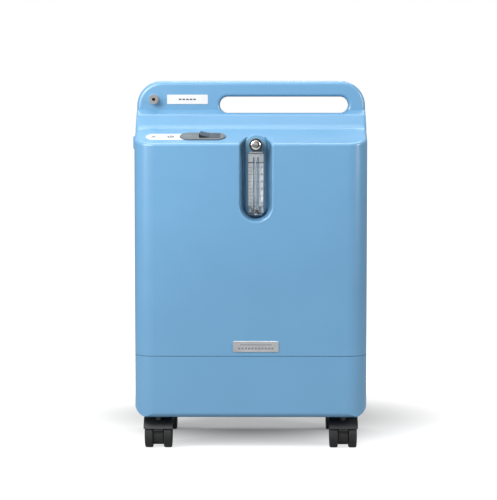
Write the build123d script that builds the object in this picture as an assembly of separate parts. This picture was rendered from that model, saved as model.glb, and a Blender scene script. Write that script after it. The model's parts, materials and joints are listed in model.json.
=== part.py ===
from build123d import *

import os
from math import atan2, cos, degrees, pi, radians, sin, tan

# Home oxygen concentrator on four swivel casters. Millimetres, +Z up, front face towards -Y.
# The origin is on the floor under the middle of the cabinet.

# ---------------------------------------------------------------- cabinet
WIDTH = 370.0
FRONT_WIDTH = WIDTH - 4.0
REAR_WIDTH = WIDTH - 4.0
DEPTH = 240.0
HEIGHT = 584.0
WALL = 3.0
UNDERSIDE_Z = 54.0
SEAM_Z = 151.5
PART_Y = -7.0
GROOVE_WIDE = 1.0
GROOVE_DEEP = 1.2
CORNER_FRONT = 32.0
CORNER_REAR = 24.0
CORNER_BOTTOM = 24.0
EDGE_BOTTOM = 8.0
TONGUE_THICK = 2.0
TONGUE_LOW = 8.0
TONGUE_RISE = 8.0

# control shelf, riser and ledge in front of the handle, deck behind it
SHELF_Z = HEIGHT - 99.0
SHELF_BACK_Y = -48.0
SHELF_BACK_Z = SHELF_Z + 23.0
RISER_Y = -36.0
RISER_Z = HEIGHT - 54.0
LEDGE_Z = HEIGHT - 46.0
SHELF_BEND = 18.0
RISER_ROUND = 6.0
SHELF_EDGE = 5.0
DECK_FRONT_Z = HEIGHT - 72.0
DECK_REAR_Z = HEIGHT - 90.0
DECK_ROUND = 14.0
SHELF_ANGLE = degrees(atan2(SHELF_BACK_Z - SHELF_Z, SHELF_BACK_Y + DEPTH / 2))

# handle panel and its grip slot
PANEL_WIDTH = WIDTH - 3.0
PANEL_FRONT_Y = -22.0
PANEL_BACK_Y = 8.0
PANEL_CORNER = 40.0
PANEL_EDGE = 7.0
SHOULDER_LOW_Z = SHELF_Z - 1.0
SHOULDER_TOP_Z = HEIGHT - 56.0
SHOULDER_BEND = 60.0
SLOT_LEFT_X = -50.5
SLOT_RIGHT_X = WIDTH / 2 - 28.5
SLOT_Z = HEIGHT - 38.0
SLOT_R = 13.0
SLOT_RIM = 5.0
PANEL_SCREWS = (-120.0, WIDTH / 2 - 35.0)
PANEL_SCREW_Z = HEIGHT - 13.0

# flow meter recess and its pedestal
FLOW_X = 8.0
RECESS_TOP_Z = SHELF_Z - 7.0
RECESS_LOW_Z = RECESS_TOP_Z - 89.0
RECESS_R = 25.5
RECESS_DEPTH = 31.0
RECESS_DRAFT = 9.0
RECESS_RIM = 3.0
PEDESTAL_R = RECESS_R - 8.0
PEDESTAL_TOP_Z = SHELF_Z - 3.5
PEDESTAL_LOW_Z = RECESS_LOW_Z - 3.0
PEDESTAL_Y = 28.0 - DEPTH / 2
KNOB_Z = PEDESTAL_TOP_Z + 1.5

# humidifier well at the back
WELL_LEFT_X = 15.0 - WIDTH / 2
WELL_RIGHT_X = -58.0
WELL_FRONT_Y = 20.0
WELL_FLOOR_Z = DECK_REAR_Z - 102.0
WELL_CORNER = 16.0

# shoulder lug on the left side
LUG_Z = SHELF_Z + 0.5
LUG_Y = -30.0
LUG_PROUD = 3.6
LUG_LENGTH = 30.0
LUG_HEIGHT = 21.0

# casters
CASTER_X = WIDTH / 2 - 38.0
CASTER_Y = DEPTH / 2 - 32.0
CASTER_TRAIL = 10.0
WHEEL_R = 23.5
WHEEL_WIDE = 13.0
WHEEL_GAP = 17.0
AXLE_R = 3.0
STEM_R = 5.5
STEM_TOP_Z = 82.0
SOCKET_R = 11.0
SOCKET_TOP_Z = 84.0
RUN_CLEAR = 0.05
CASTERS = {
    "fl": (-CASTER_X, -CASTER_Y),
    "fr": (CASTER_X, -CASTER_Y),
    "rl": (-CASTER_X, CASTER_Y),
    "rr": (CASTER_X, CASTER_Y),
}

# oxygen outlet
OUTLET_X = 29.0 - WIDTH / 2
OUTLET_Z = HEIGHT - 29.5
OUTLET_R = 7.1
OUTLET_BORE_R = 2.6
OUTLET_OUT = 12.0

# chassis and compressor
CHASSIS_Z = 90.0
CHASSIS_THICK = 2.0
POSTS = [(x, y) for x in (-100.0, 0.0, 100.0) for y in (-84.0, 84.0)]
PUMP_X = -40.0
PUMP_SHAFT_Z = 166.0
PUMP_BASE_Z = 112.0
STATOR_R = 46.0
STATOR_LONG = 80.0
CRANK_LONG = 32.0
CRANK_TOP_Z = 216.0
HEAD_Z = 248.0
HEAD_HIGH = 20.0
SHAFT_R = 5.0
FAN_R = 42.0
MOUNTS = [(x, y) for x in (PUMP_X - 68, PUMP_X + 68) for y in (-44.0, 44.0)]

# sieve beds and valve block
BED_X = 118.0
BED_Y = 44.0
BED_R = 36.0
BED_TOP_Z = 372.0
VALVE_TOP_Z = 400.0
COIL_Y = 20.0

# middle shelf, cooling fan and the parts standing on it
MID_Z = 280.0
MID_THICK = 3.0
FAN_X = -60.0
FAN_FRAME = 120.0
FAN_DEEP = 25.0
MID_LEGS = [(-155.0, -68.0), (-155.0, 92.0), (63.0, -68.0), (63.0, 80.0)]
TANK_X = 36.0
TANK_Y = 68.0
TANK_R = 28.0
TANK_TOP_Z = 450.0

# filter door and filter
DOOR_X = 105.0
DOOR_Z = 250.0
DOOR_WIDE = 90.0
DOOR_HIGH = 80.0

# rear fittings
INLET_X = -115.0
INLET_Z = 106.0
INLET_WIDE = 47.0
INLET_HIGH = 28.0
BREAKER_X = -66.0
BREAKER_Z = 106.0
METER_X = -35.0
METER_Z = 315.0
GRILLE_X = -100.0
GRILLE_Z = 200.0
GRILLE_WIDE = 110.0
GRILLE_HIGH = 64.0

# control strip on the shelf
STRIP_S = 33.0
STRIP_HIGH = 32.0
BEZEL_X0 = -112.0
BEZEL_X1 = -39.5
BEZEL_THICK = 2.4
SWITCH_X = -65.0
SWITCH_WIDE = 33.0
SWITCH_HIGH = 21.0
SWITCH_TILT = 8.0
ROCKER_HUB_R = 3.4


# ---------------------------------------------------------------- helpers
def extrude_y(sketch, y0, y1):
    """Extrudes a sketch drawn in X and Z from y0 to y1."""
    plane = Plane(origin=(0, y0, 0), x_dir=(1, 0, 0), z_dir=(0, -1, 0))
    return extrude(plane * sketch, y1 - y0, dir=(0, 1, 0))


def block(x0, x1, y0, y1, z0, z1):
    middle = Pos((x0 + x1) / 2, (y0 + y1) / 2, (z0 + z1) / 2)
    return middle * Box(x1 - x0, y1 - y0, z1 - z0)


def rod_z(x, y, z0, z1, radius):
    return Pos(x, y, (z0 + z1) / 2) * Cylinder(radius, z1 - z0)


def rod_x(x0, x1, y, z, radius):
    return Pos((x0 + x1) / 2, y, z) * Rot(0, 90, 0) * Cylinder(radius, x1 - x0)


def rod_y(x, y0, y1, z, radius):
    return Pos(x, (y0 + y1) / 2, z) * Rot(90, 0, 0) * Cylinder(radius, y1 - y0)


def extent(edge):
    box = edge.bounding_box()
    return box.min.X, box.max.X, box.min.Y, box.max.Y, box.min.Z, box.max.Z


def corners_at(face, test):
    return [v for v in face.vertices() if test(v)]


def shelf_place(x, along, lift=0.0):
    """A place on the sloping control shelf, measured from its front edge along the slope."""
    angle = radians(SHELF_ANGLE)
    y = -DEPTH / 2 + along * cos(angle) - lift * sin(angle)
    z = SHELF_Z + along * sin(angle) + lift * cos(angle)
    return Plane(origin=(x, y, z), x_dir=(1, 0, 0), z_dir=(0, -sin(angle), cos(angle)))


def hose(points, radius, bore, bend):
    """A flexible hose of round section along a path with rounded bends."""
    path = FilletPolyline(*points, radius=bend)
    start = Plane(origin=path @ 0, z_dir=path % 0)
    tube = sweep(start * Circle(radius), path=path)
    hollow = sweep(start * Circle(bore), path=path)
    return tube - hollow


# ---------------------------------------------------------------- cabinet forms
def plan_form(inset):
    """The cabinet from above, a little narrower towards the front and the back."""
    front, rear, middle = FRONT_WIDTH / 2, REAR_WIDTH / 2, WIDTH / 2
    face = make_face(
        Polyline(
            (-front, -DEPTH / 2),
            (front, -DEPTH / 2),
            (middle, PART_Y),
            (rear, DEPTH / 2),
            (-rear, DEPTH / 2),
            (-middle, PART_Y),
            close=True,
        )
    )
    face = fillet(corners_at(face, lambda v: v.Y < 1 - DEPTH / 2), CORNER_FRONT)
    face = fillet(corners_at(face, lambda v: v.Y > DEPTH / 2 - 1), CORNER_REAR)
    if inset:
        face = offset(face, amount=-inset, kind=Kind.INTERSECTION)
    return extrude(face, HEIGHT, dir=(0, 0, 1))


def side_form(inset):
    """The cabinet from the side: front, control shelf, riser, ledge, rear deck and back."""
    front, back = -DEPTH / 2, DEPTH / 2
    points = [
        (front, UNDERSIDE_Z),
        (front, SHELF_Z),
        (SHELF_BACK_Y, SHELF_BACK_Z),
        (RISER_Y, RISER_Z),
        (PANEL_FRONT_Y, LEDGE_Z),
        (PANEL_BACK_Y, DECK_FRONT_Z),
        (back, DECK_REAR_Z),
        (back, UNDERSIDE_Z),
    ]
    face = make_face(Polyline(*points, close=True))
    rounds = {0: EDGE_BOTTOM, 2: SHELF_BEND, 3: RISER_ROUND, 6: DECK_ROUND, 7: EDGE_BOTTOM}
    for index, radius in rounds.items():
        y, z = points[index]
        face = fillet(corners_at(face, lambda v: abs(v.X - y) + abs(v.Y - z) < 1e-6), radius)
    if inset:
        face = offset(face, amount=-inset, kind=Kind.INTERSECTION)
    plane = Plane(origin=(-WIDTH / 2 - 5, 0, 0), x_dir=(0, 1, 0), z_dir=(1, 0, 0))
    return extrude(plane * face, WIDTH + 10, dir=(1, 0, 0))


def front_form(inset):
    """The cabinet from the front: rounded lower corners, shoulders drawn in to the handle."""
    half = WIDTH / 2 + 0.3 - inset
    neck = PANEL_WIDTH / 2 - inset
    low = UNDERSIDE_Z + inset
    face = make_face(
        Polyline(
            (-half, low),
            (half, low),
            (half, SHOULDER_LOW_Z),
            (neck, SHOULDER_TOP_Z),
            (neck, HEIGHT),
            (-neck, HEIGHT),
            (-neck, SHOULDER_TOP_Z),
            (-half, SHOULDER_LOW_Z),
            close=True,
        )
    )
    face = fillet(corners_at(face, lambda v: v.Y < low + 1), CORNER_BOTTOM - inset)
    face = fillet(corners_at(face, lambda v: SHOULDER_LOW_Z - 1 < v.Y < SHOULDER_TOP_Z + 1), SHOULDER_BEND)
    return extrude_y(face, -DEPTH / 2 - 1, DEPTH / 2 + 1)


def cabinet_form(inset):
    form = side_form(inset) & plan_form(inset)
    rim = []
    for edge in form.edges():
        x0, x1, y0, y1, z0, z1 = extent(edge)
        on_side = x0 * x1 > 0 and min(abs(x0), abs(x1)) > 130 and y1 - y0 > 0.3
        on_front = abs(y1 - (inset - DEPTH / 2)) < 0.1
        if z0 > SHELF_Z - inset - 1 and y1 < PANEL_FRONT_Y + 0.9 * inset + 0.5 and (on_side or on_front):
            rim.append(edge)
    form = fillet(rim, max(SHELF_EDGE - inset, 1.0))
    return form & front_form(inset)


def panel_form(inset):
    """The upright plate of the handle, with rounded top corners and soft edges."""
    low = DECK_FRONT_Z - 26
    face = Pos(0, (low + HEIGHT) / 2) * Rectangle(PANEL_WIDTH, HEIGHT - low)
    face = fillet(corners_at(face, lambda v: v.Y > HEIGHT - 1), PANEL_CORNER)
    if inset:
        face = offset(face, amount=-inset, kind=Kind.INTERSECTION)
    plate = extrude_y(face, PANEL_FRONT_Y + inset, PANEL_BACK_Y - inset)
    sides = plate.faces().sort_by(Axis.Y)
    edges = [e for f in (sides[0], sides[-1]) for e in f.edges() if e.center().Z > low + inset + 5]
    return fillet(edges, PANEL_EDGE - inset)


def outside_form(inset):
    return cabinet_form(inset) + panel_form(inset)


def slot_form(grow):
    long = SLOT_RIGHT_X - SLOT_LEFT_X + 2 * grow
    face = Pos((SLOT_LEFT_X + SLOT_RIGHT_X) / 2, SLOT_Z) * SlotOverall(long, 2 * (SLOT_R + grow))
    return extrude_y(face, -70, 40)


def upright_slot(x, z0, z1, radius):
    return Pos(x, (z0 + z1) / 2) * Rot(0, 0, 90) * SlotCenterToCenter(z1 - z0, 2 * radius)


def recess_form(grow):
    """The scoop for the flow meter, drafted towards its back wall."""
    slope = tan(radians(RECESS_DRAFT))
    y0 = -DEPTH / 2 - 2
    y1 = -DEPTH / 2 + RECESS_DEPTH + grow
    wide = upright_slot(FLOW_X, RECESS_LOW_Z, RECESS_TOP_Z, RECESS_R + grow + 2 * slope)
    slim_r = RECESS_R + grow - (RECESS_DEPTH + grow) * slope
    slim = upright_slot(FLOW_X, RECESS_LOW_Z, RECESS_TOP_Z, slim_r)
    front = Plane(origin=(0, y0, 0), x_dir=(1, 0, 0), z_dir=(0, -1, 0))
    back = Plane(origin=(0, y1, 0), x_dir=(1, 0, 0), z_dir=(0, -1, 0))
    return loft([front * wide, back * slim])


def well_form(grow):
    """The open well at the back that takes a humidifier bottle."""
    x0, x1 = WELL_LEFT_X - grow, WELL_RIGHT_X + grow
    y0, y1 = WELL_FRONT_Y - grow, DEPTH / 2 + 10
    face = Pos((x0 + x1) / 2, (y0 + y1) / 2) * Rectangle(x1 - x0, y1 - y0)
    face = fillet(corners_at(face, lambda v: v.Y < y0 + 1), WELL_CORNER + grow)
    return Pos(0, 0, WELL_FLOOR_Z - grow) * extrude(face, 200, dir=(0, 0, 1))


def rim_edges(form, x0, x1, z0, z1, test):
    found = []
    for edge in form.edges():
        a0, a1, b0, b1, c0, c1 = extent(edge)
        if a0 > x0 and a1 < x1 and c0 > z0 and c1 < z1 and test(b0, b1):
            found.append(edge)
    return found


def cabinet_outside():
    """The outer surface with slot, recess and well, and their edges rounded."""
    form = outside_form(0) - recess_form(0)
    rim = rim_edges(
        form,
        FLOW_X - RECESS_R - 1,
        FLOW_X + RECESS_R + 1,
        350,
        LEDGE_Z,
        lambda b0, b1: b0 < 0.5 - DEPTH / 2 + RECESS_DEPTH - 1 and not (b1 > RECESS_DEPTH - 121 and b0 < -100),
    )
    form = fillet(rim, RECESS_RIM)
    form = form - slot_form(0)
    rim = rim_edges(
        form,
        SLOT_LEFT_X - 1,
        SLOT_RIGHT_X + 1,
        SLOT_Z - SLOT_R - 1,
        SLOT_Z + SLOT_R + 1,
        lambda b0, b1: b1 < PANEL_FRONT_Y + 0.5 or b0 > PANEL_BACK_Y - 0.5,
    )
    form = fillet(rim, SLOT_RIM)
    return form - well_form(0)


def cabinet_shell():
    hollow = outside_form(WALL) - slot_form(WALL) - recess_form(WALL) - well_form(WALL)
    shell = cabinet_outside() - hollow
    skin = outside_form(GROOVE_DEEP)
    level = block(-220, 220, -150, 150, SEAM_Z - GROOVE_WIDE / 2, SEAM_Z + GROOVE_WIDE / 2)
    upright = block(-220, 220, PART_Y - GROOVE_WIDE / 2, PART_Y + GROOVE_WIDE / 2, SEAM_Z, HEIGHT + 5)
    return shell - (level - skin) - (upright - skin)


def keep_largest(shape):
    return shape.solids().sort_by(SortBy.VOLUME)[-1]


# ---------------------------------------------------------------- cabinet pieces
def front_cover(shell):
    """Front face, control shelf, recess and the front half of the handle."""
    cover = shell & block(-250, 250, -200, PART_Y, SEAM_Z, 700)
    cover = keep_largest(cover)
    pedestal = upright_slot(FLOW_X, PEDESTAL_LOW_Z, PEDESTAL_TOP_Z, PEDESTAL_R)
    back = -DEPTH / 2 + RECESS_DEPTH + 1
    column = extrude_y(pedestal, PEDESTAL_Y, back)
    column = fillet(column.faces().sort_by(Axis.Y)[0].edges(), 1.6)
    cover += column
    for x in (-155.0, -40.0):
        for z in (318.0, 432.0):
            cover += rod_y(x, -DEPTH / 2 + WALL - 0.5, -101.0, z, 3.5)
    for x in PANEL_SCREWS:
        cover += rod_y(x, PANEL_FRONT_Y + WALL - 0.5, PANEL_BACK_Y - WALL, PANEL_SCREW_Z, 3.2)
        cover -= rod_y(x, PANEL_BACK_Y - WALL - 12, PANEL_BACK_Y, PANEL_SCREW_Z, 1.5)
    lug = Pos(-WIDTH / 2 + 2, LUG_Y, LUG_Z) * Box(2 * LUG_PROUD + 4, LUG_LENGTH, LUG_HEIGHT)
    lug = fillet(lug.faces().sort_by(Axis.X)[0].edges(), 2.6)
    cover += lug & block(-250, -WIDTH / 2 + 4, -150, PART_Y - 1, 0, 600)
    cover -= rod_y(OUTLET_X, PANEL_FRONT_Y - 4, PANEL_FRONT_Y + 6, OUTLET_Z, 5.0)
    cover -= rod_y(FLOW_X, PEDESTAL_Y - 1, back + 6, KNOB_Z - 14, 2.0)
    hole = Box(SWITCH_WIDE + 3, SWITCH_HIGH + 3, 20)
    cover -= shelf_place(SWITCH_X, STRIP_S) * hole
    return cover


def rear_cover(shell):
    """Back, sides behind the parting line, rear deck, humidifier well, filter box."""
    cover = shell & block(-250, 250, PART_Y, 200, SEAM_Z, 700)
    cover = keep_largest(cover)
    y = DEPTH / 2
    box_x0, box_x1 = DOOR_X - DOOR_WIDE / 2 - 2, DOOR_X + DOOR_WIDE / 2 + 2
    box_z0, box_z1 = DOOR_Z - DOOR_HIGH / 2 - 2, DOOR_Z + DOOR_HIGH / 2 + 2
    cover += block(box_x0, box_x1, y - 30, y - 1, box_z0, box_z1)
    cover -= block(box_x0 + 2, box_x1 - 2, y - 28, y + 5, box_z0 + 2, box_z1 - 2)
    for column in range(5):
        for row in range(4):
            x = DOOR_X + (column - 2) * 16
            z = DOOR_Z + (row - 1.5) * 17
            cover -= rod_y(x, y - 32, y - 26, z, 5.5)
    cover += block(box_x0 + 1, box_x1 - 1, y - 28, y - 25, box_z0 + 1, box_z0 + 4)
    cover -= block(
        GRILLE_X - GRILLE_WIDE / 2 + 4,
        GRILLE_X + GRILLE_WIDE / 2 - 4,
        y - 10,
        y + 5,
        GRILLE_Z - GRILLE_HIGH / 2 + 4,
        GRILLE_Z + GRILLE_HIGH / 2 - 4,
    )
    cover -= block(METER_X - 18, METER_X + 18, y - 10, y + 5, METER_Z - 9, METER_Z + 9)
    for x, z in REAR_SCREWS:
        cover -= rod_y(x, y - 10, y + 5, z, 2.0)
    for x in PANEL_SCREWS:
        cover -= rod_y(x, PANEL_BACK_Y - 5, PANEL_BACK_Y + 1, PANEL_SCREW_Z, 2.0)
    return cover


REAR_SCREWS = [(-140.0, SEAM_Z + 4.2), (0.0, SEAM_Z + 4.2), (140.0, SEAM_Z + 4.2)]


def base_tray(shell):
    """Floor, lower walls, tongue for the covers, caster sockets and chassis posts."""
    tray = keep_largest(shell & block(-250, 250, -200, 200, 0, SEAM_Z))
    outer = plan_form(WALL)
    inner = plan_form(WALL + TONGUE_THICK)
    band = block(-220, 220, -150, 150, SEAM_Z - TONGUE_LOW, SEAM_Z + TONGUE_RISE)
    tray += (outer - inner) & band
    for x, y in CASTERS.values():
        tray += rod_z(x, y, UNDERSIDE_Z + 1, SOCKET_TOP_Z, SOCKET_R)
        for angle in (0, 90):
            rib = Pos(x, y, (UNDERSIDE_Z + 70) / 2 + 1) * Rot(0, 0, angle) * Box(44, 2.5, 16)
            tray += rib & block(-183, 183, -116, 116, UNDERSIDE_Z, 100)
        tray -= rod_z(x, y, 0, SOCKET_TOP_Z + 1, STEM_R + RUN_CLEAR)
    for x, y in POSTS:
        tray += rod_z(x, y, UNDERSIDE_Z + 1, CHASSIS_Z, 6.0)
    y = DEPTH / 2
    tray -= block(
        INLET_X - INLET_WIDE / 2, INLET_X + INLET_WIDE / 2, y - 8, y + 5,
        INLET_Z - INLET_HIGH / 2, INLET_Z + INLET_HIGH / 2,
    )
    tray -= rod_y(BREAKER_X, y - 8, y + 5, BREAKER_Z, 6.0)
    for x, z in REAR_SCREWS:
        tray -= rod_y(x, y - 10, y - 1, z, 1.5)
    return tray


def screw(x, y, z, length, reach):
    head = rod_y(x, y, y + 2.4, z, 3.8)
    head = fillet(head.faces().sort_by(Axis.Y)[-1].edges(), 1.2)
    slot = block(x - 2.4, x + 2.4, y + 1.2, y + 3, z - 0.45, z + 0.45)
    cross = block(x - 0.45, x + 0.45, y + 1.2, y + 3, z - 2.4, z + 2.4)
    return head - slot - cross + rod_y(x, y - length, y, z, reach)


def cover_screws():
    screws = [screw(x, DEPTH / 2, z, 8.0, 1.5) for x, z in REAR_SCREWS]
    screws += [screw(x, PANEL_BACK_Y, PANEL_SCREW_Z, 12.0, 1.5) for x in PANEL_SCREWS]
    return Compound(children=screws)


def badge_plate():
    plate = Pos(FLOW_X, SEAM_Z + 15.3) * RectangleRounded(72, 17.5, 2.0)
    plate = extrude_y(plate, -DEPTH / 2 - 1.2, -DEPTH / 2)
    return chamfer(plate.faces().sort_by(Axis.Y)[0].edges(), 0.5)


def outlet_fitting():
    """Chrome outlet: flange on the panel, threaded collar, nipple with bore, nut inside."""
    y = PANEL_FRONT_Y
    body = rod_y(OUTLET_X, y - 2.0, y, OUTLET_Z, OUTLET_R + 0.9)
    body += rod_y(OUTLET_X, y - OUTLET_OUT, y, OUTLET_Z, OUTLET_R)
    for index in range(5):
        ring_y = y - 4.2 - 1.5 * index
        ring = rod_y(OUTLET_X, ring_y - 0.4, ring_y + 0.4, OUTLET_Z, OUTLET_R + 1)
        body -= ring - rod_y(OUTLET_X, ring_y - 1, ring_y + 1, OUTLET_Z, OUTLET_R - 0.5)
    body -= rod_y(OUTLET_X, y - OUTLET_OUT - 1, y - OUTLET_OUT + 5, OUTLET_Z, 5.4)
    body += rod_y(OUTLET_X, y - OUTLET_OUT + 1, y - OUTLET_OUT + 6, OUTLET_Z, 3.9)
    body += rod_y(OUTLET_X, y - 1, y + 9, OUTLET_Z, 5.0)
    body += rod_y(OUTLET_X, y + WALL, y + WALL + 3, OUTLET_Z, 8.0)
    return body - rod_y(OUTLET_X, y - 20, y + 20, OUTLET_Z, OUTLET_BORE_R)


# ---------------------------------------------------------------- controls
def switch_bezel():
    """Grey capsule around the power switch, with a window for the rocker."""
    long = BEZEL_X1 - BEZEL_X0
    middle = (BEZEL_X0 + BEZEL_X1) / 2
    capsule = SlotOverall(long, STRIP_HIGH)
    window = Pos(SWITCH_X - middle, 0) * Rectangle(SWITCH_WIDE, SWITCH_HIGH)
    plate = extrude(capsule - window, BEZEL_THICK)
    top = plate.faces().sort_by(Axis.Z)[-1].outer_wire().edges()
    plate = fillet(top, 1.2)
    return shelf_place(middle, STRIP_S) * plate


def switch_case():
    """The switch housing under the bezel: walls, floor and two terminals."""
    outer = Pos(0, 0, -9) * Box(SWITCH_WIDE + 2.6, SWITCH_HIGH + 2.6, 18)
    inner = Pos(0, 0, -7) * Box(SWITCH_WIDE, SWITCH_HIGH, 16)
    case = outer - inner
    for x in (-8, 8):
        case += Pos(x, 0, -22) * Box(1.0, 6.3, 9)
    return shelf_place(SWITCH_X, STRIP_S) * case


def power_switch():
    """Rocker with two facets, at rest with its far side up."""
    half = SWITCH_WIDE / 2 - 1.0
    rise = 6.0
    crest = rise - half * tan(radians(SWITCH_TILT))
    outline = make_face(
        Polyline((-half, -2), (half, -2), (half, rise), (0, crest), (-half, rise), close=True)
    )
    outline += Circle(ROCKER_HUB_R)
    rocker = extrude(Plane(origin=(0, SWITCH_HIGH / 2 - 0.6, 0), x_dir=(1, 0, 0), z_dir=(0, -1, 0)) * outline,
                     SWITCH_HIGH - 1.2)
    rocker = Rot(0, SWITCH_TILT, 0) * rocker
    return shelf_place(SWITCH_X, STRIP_S, -1.0) * rocker


# ---------------------------------------------------------------- flow meter
FLOW_FRONT_Y = PEDESTAL_Y - 14.0
METER_WIDE = 24.0
METER_Z0 = RECESS_LOW_Z - 16.0
METER_Z1 = RECESS_TOP_Z - 6.0
TUBE_R = 4.4
TUBE_Z0 = METER_Z0 + 10.0
TUBE_Z1 = METER_Z1 - 8.0
TUBE_Y = PEDESTAL_Y - 7.5


def flow_block():
    """Clear block with the tapered bore in which the ball floats."""
    form = block(
        FLOW_X - METER_WIDE / 2, FLOW_X + METER_WIDE / 2, FLOW_FRONT_Y, PEDESTAL_Y - 0.6, METER_Z0, METER_Z1,
    )
    edges = [e for e in form.edges() if extent(e)[3] < FLOW_FRONT_Y + 0.1]
    form = fillet(edges, 2.0)
    bore = rod_z(FLOW_X, TUBE_Y, TUBE_Z0, TUBE_Z1, TUBE_R)
    return form - bore


def flow_ball():
    return Pos(FLOW_X, TUBE_Y, TUBE_Z0 + 4.0) * Sphere(3.6)


def valve_body():
    body = rod_y(FLOW_X, FLOW_FRONT_Y, PEDESTAL_Y, KNOB_Z, 9.5)
    body += rod_y(FLOW_X, FLOW_FRONT_Y - 4, FLOW_FRONT_Y + 1, KNOB_Z, 4.0)
    return body - rod_y(FLOW_X, FLOW_FRONT_Y - 5, PEDESTAL_Y - 3, KNOB_Z, 1.5)


def valve_needle():
    return rod_y(FLOW_X, FLOW_FRONT_Y - 4.5, PEDESTAL_Y - 6.5, KNOB_Z, 1.2)


def flow_knob():
    """Knurled ring turned by hand, open in front for its bright cap."""
    y0, y1 = FLOW_FRONT_Y - 13.5, FLOW_FRONT_Y - 1.0
    knob = rod_y(FLOW_X, y0, y1, KNOB_Z, 10.6)
    knob = fillet(knob.faces().sort_by(Axis.Y)[0].edges(), 1.0)
    knob -= rod_y(FLOW_X, y1 - 6, y1 + 1, KNOB_Z, 4.6)
    knob -= rod_y(FLOW_X, y0 - 1, y0 + 1.5, KNOB_Z, 8.2)
    for index in range(24):
        angle = 2 * pi * index / 24
        x = FLOW_X + 10.9 * sin(angle)
        z = KNOB_Z + 10.9 * cos(angle)
        knob -= rod_y(x, y0 + 1.5, y1 + 1, z, 0.8)
    return knob


# ---------------------------------------------------------------- casters
def caster_hood(x, y):
    """Web between the wheels, canopy over them and the boss round the stem."""
    axle_y = y + CASTER_TRAIL
    web_half = WHEEL_GAP / 2 - 0.8
    web = rod_x(x - web_half, x + web_half, axle_y, WHEEL_R, 18.5)
    web += block(x - web_half, x + web_half, axle_y - 23, axle_y + 14, WHEEL_R + 6, WHEEL_R + 24)
    canopy = rod_x(x - 23, x + 23, axle_y, WHEEL_R, WHEEL_R + 3.6)
    canopy -= rod_x(x - 24, x + 24, axle_y, WHEEL_R, WHEEL_R + 1.2)
    canopy = canopy & block(x - 24, x + 24, axle_y - 26, axle_y + 20, WHEEL_R + 10, 60)
    hood = (web & rod_x(x - 24, x + 24, axle_y, WHEEL_R, WHEEL_R + 3.6)) + canopy
    hood = keep_largest(hood)
    hood -= rod_z(x, y, WHEEL_R + 8, 60, STEM_R)
    hood -= rod_x(x - 24, x + 24, axle_y, WHEEL_R, AXLE_R)
    return hood


def caster_pin(x, y):
    """Stem with its collar, and the axle."""
    axle_y = y + CASTER_TRAIL
    stem = rod_z(x, y, WHEEL_R + 8, STEM_TOP_Z, STEM_R)
    groove = rod_z(x, y, STEM_TOP_Z - 6, STEM_TOP_Z - 4.5, 9) - rod_z(x, y, STEM_TOP_Z - 7, STEM_TOP_Z - 4, 4.8)
    stem = chamfer((stem - groove).faces().sort_by(Axis.Z)[-1].edges(), 1.0)
    reach = WHEEL_GAP / 2 + WHEEL_WIDE - 2.5
    axle = rod_x(x - reach, x + reach, axle_y, WHEEL_R, AXLE_R)
    return Compound(children=[stem, axle])


def caster_wheels(x, y):
    """The two wheels on one axle, with rounded treads and dished outer faces."""
    axle_y = y + CASTER_TRAIL
    wheels = []
    for side in (-1, 1):
        inner = x + side * WHEEL_GAP / 2
        outer = x + side * (WHEEL_GAP / 2 + WHEEL_WIDE)
        wheel = rod_x(min(inner, outer), max(inner, outer), axle_y, WHEEL_R, WHEEL_R)
        ends = wheel.faces().filter_by(GeomType.PLANE)
        wheel = fillet([e for f in ends for e in f.edges()], 2.4)
        low, high = sorted((outer - side * 1.6, outer + side))
        dish = rod_x(low, high, axle_y, WHEEL_R, 17.5) - rod_x(low - 1, high + 1, axle_y, WHEEL_R, 7.5)
        low, high = sorted((inner - side, inner + side * 8.0))
        hollow = rod_x(low, high, axle_y, WHEEL_R, 18.0)
        hollow -= rod_x(low - 1, high + 1, axle_y, WHEEL_R, 6.5)
        low, high = sorted((inner - side, outer - side * 2.2))
        bore = rod_x(low, high, axle_y, WHEEL_R, AXLE_R + RUN_CLEAR)
        wheels.append(wheel - dish - hollow - bore)
    return Compound(children=wheels)


# ---------------------------------------------------------------- compressor
def chassis_plate():
    face = Rectangle(300, 196)
    for x, y in CASTERS.values():
        face -= Pos(x, y) * Circle(16)
    plate = Pos(0, 0, CHASSIS_Z) * extrude(face, CHASSIS_THICK)
    for index in range(6):
        plate -= block(-130 + 28 * index, -114 + 28 * index, -30, 30, 80, 100)
    return plate


def pump_mounts():
    mounts = []
    for x, y in MOUNTS:
        z0 = CHASSIS_Z + CHASSIS_THICK
        mount = rod_z(x, y, z0, PUMP_BASE_Z, 12.0)
        ring = rod_z(x, y, z0 + 6, PUMP_BASE_Z - 6, 14) - rod_z(x, y, z0 + 5, PUMP_BASE_Z - 5, 9)
        mounts.append(mount - ring)
    return Compound(children=mounts)


def pump_base():
    base = block(PUMP_X - 86, PUMP_X + 86, -56, 56, PUMP_BASE_Z, PUMP_BASE_Z + 3)
    cradle = block(PUMP_X - 30, PUMP_X + 30, -36, 36, PUMP_BASE_Z + 2, PUMP_SHAFT_Z - 26)
    cradle -= rod_x(PUMP_X - 40, PUMP_X + 40, 0, PUMP_SHAFT_Z, STATOR_R)
    return base + cradle


def motor_stator():
    x0, x1 = PUMP_X - STATOR_LONG / 2, PUMP_X + STATOR_LONG / 2
    body = rod_x(x0, x1, 0, PUMP_SHAFT_Z, STATOR_R) - rod_x(x0 - 1, x1 + 1, 0, PUMP_SHAFT_Z, 27.0)
    for index in range(12):
        angle = 2 * pi * index / 12
        y = 34.0 * cos(angle)
        z = PUMP_SHAFT_Z + 34.0 * sin(angle)
        body -= rod_x(x0 - 1, x1 + 1, y, z, 4.0)
    return body


def crank_x(side):
    near = PUMP_X + side * STATOR_LONG / 2
    return sorted((near, near + side * CRANK_LONG))


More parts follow.
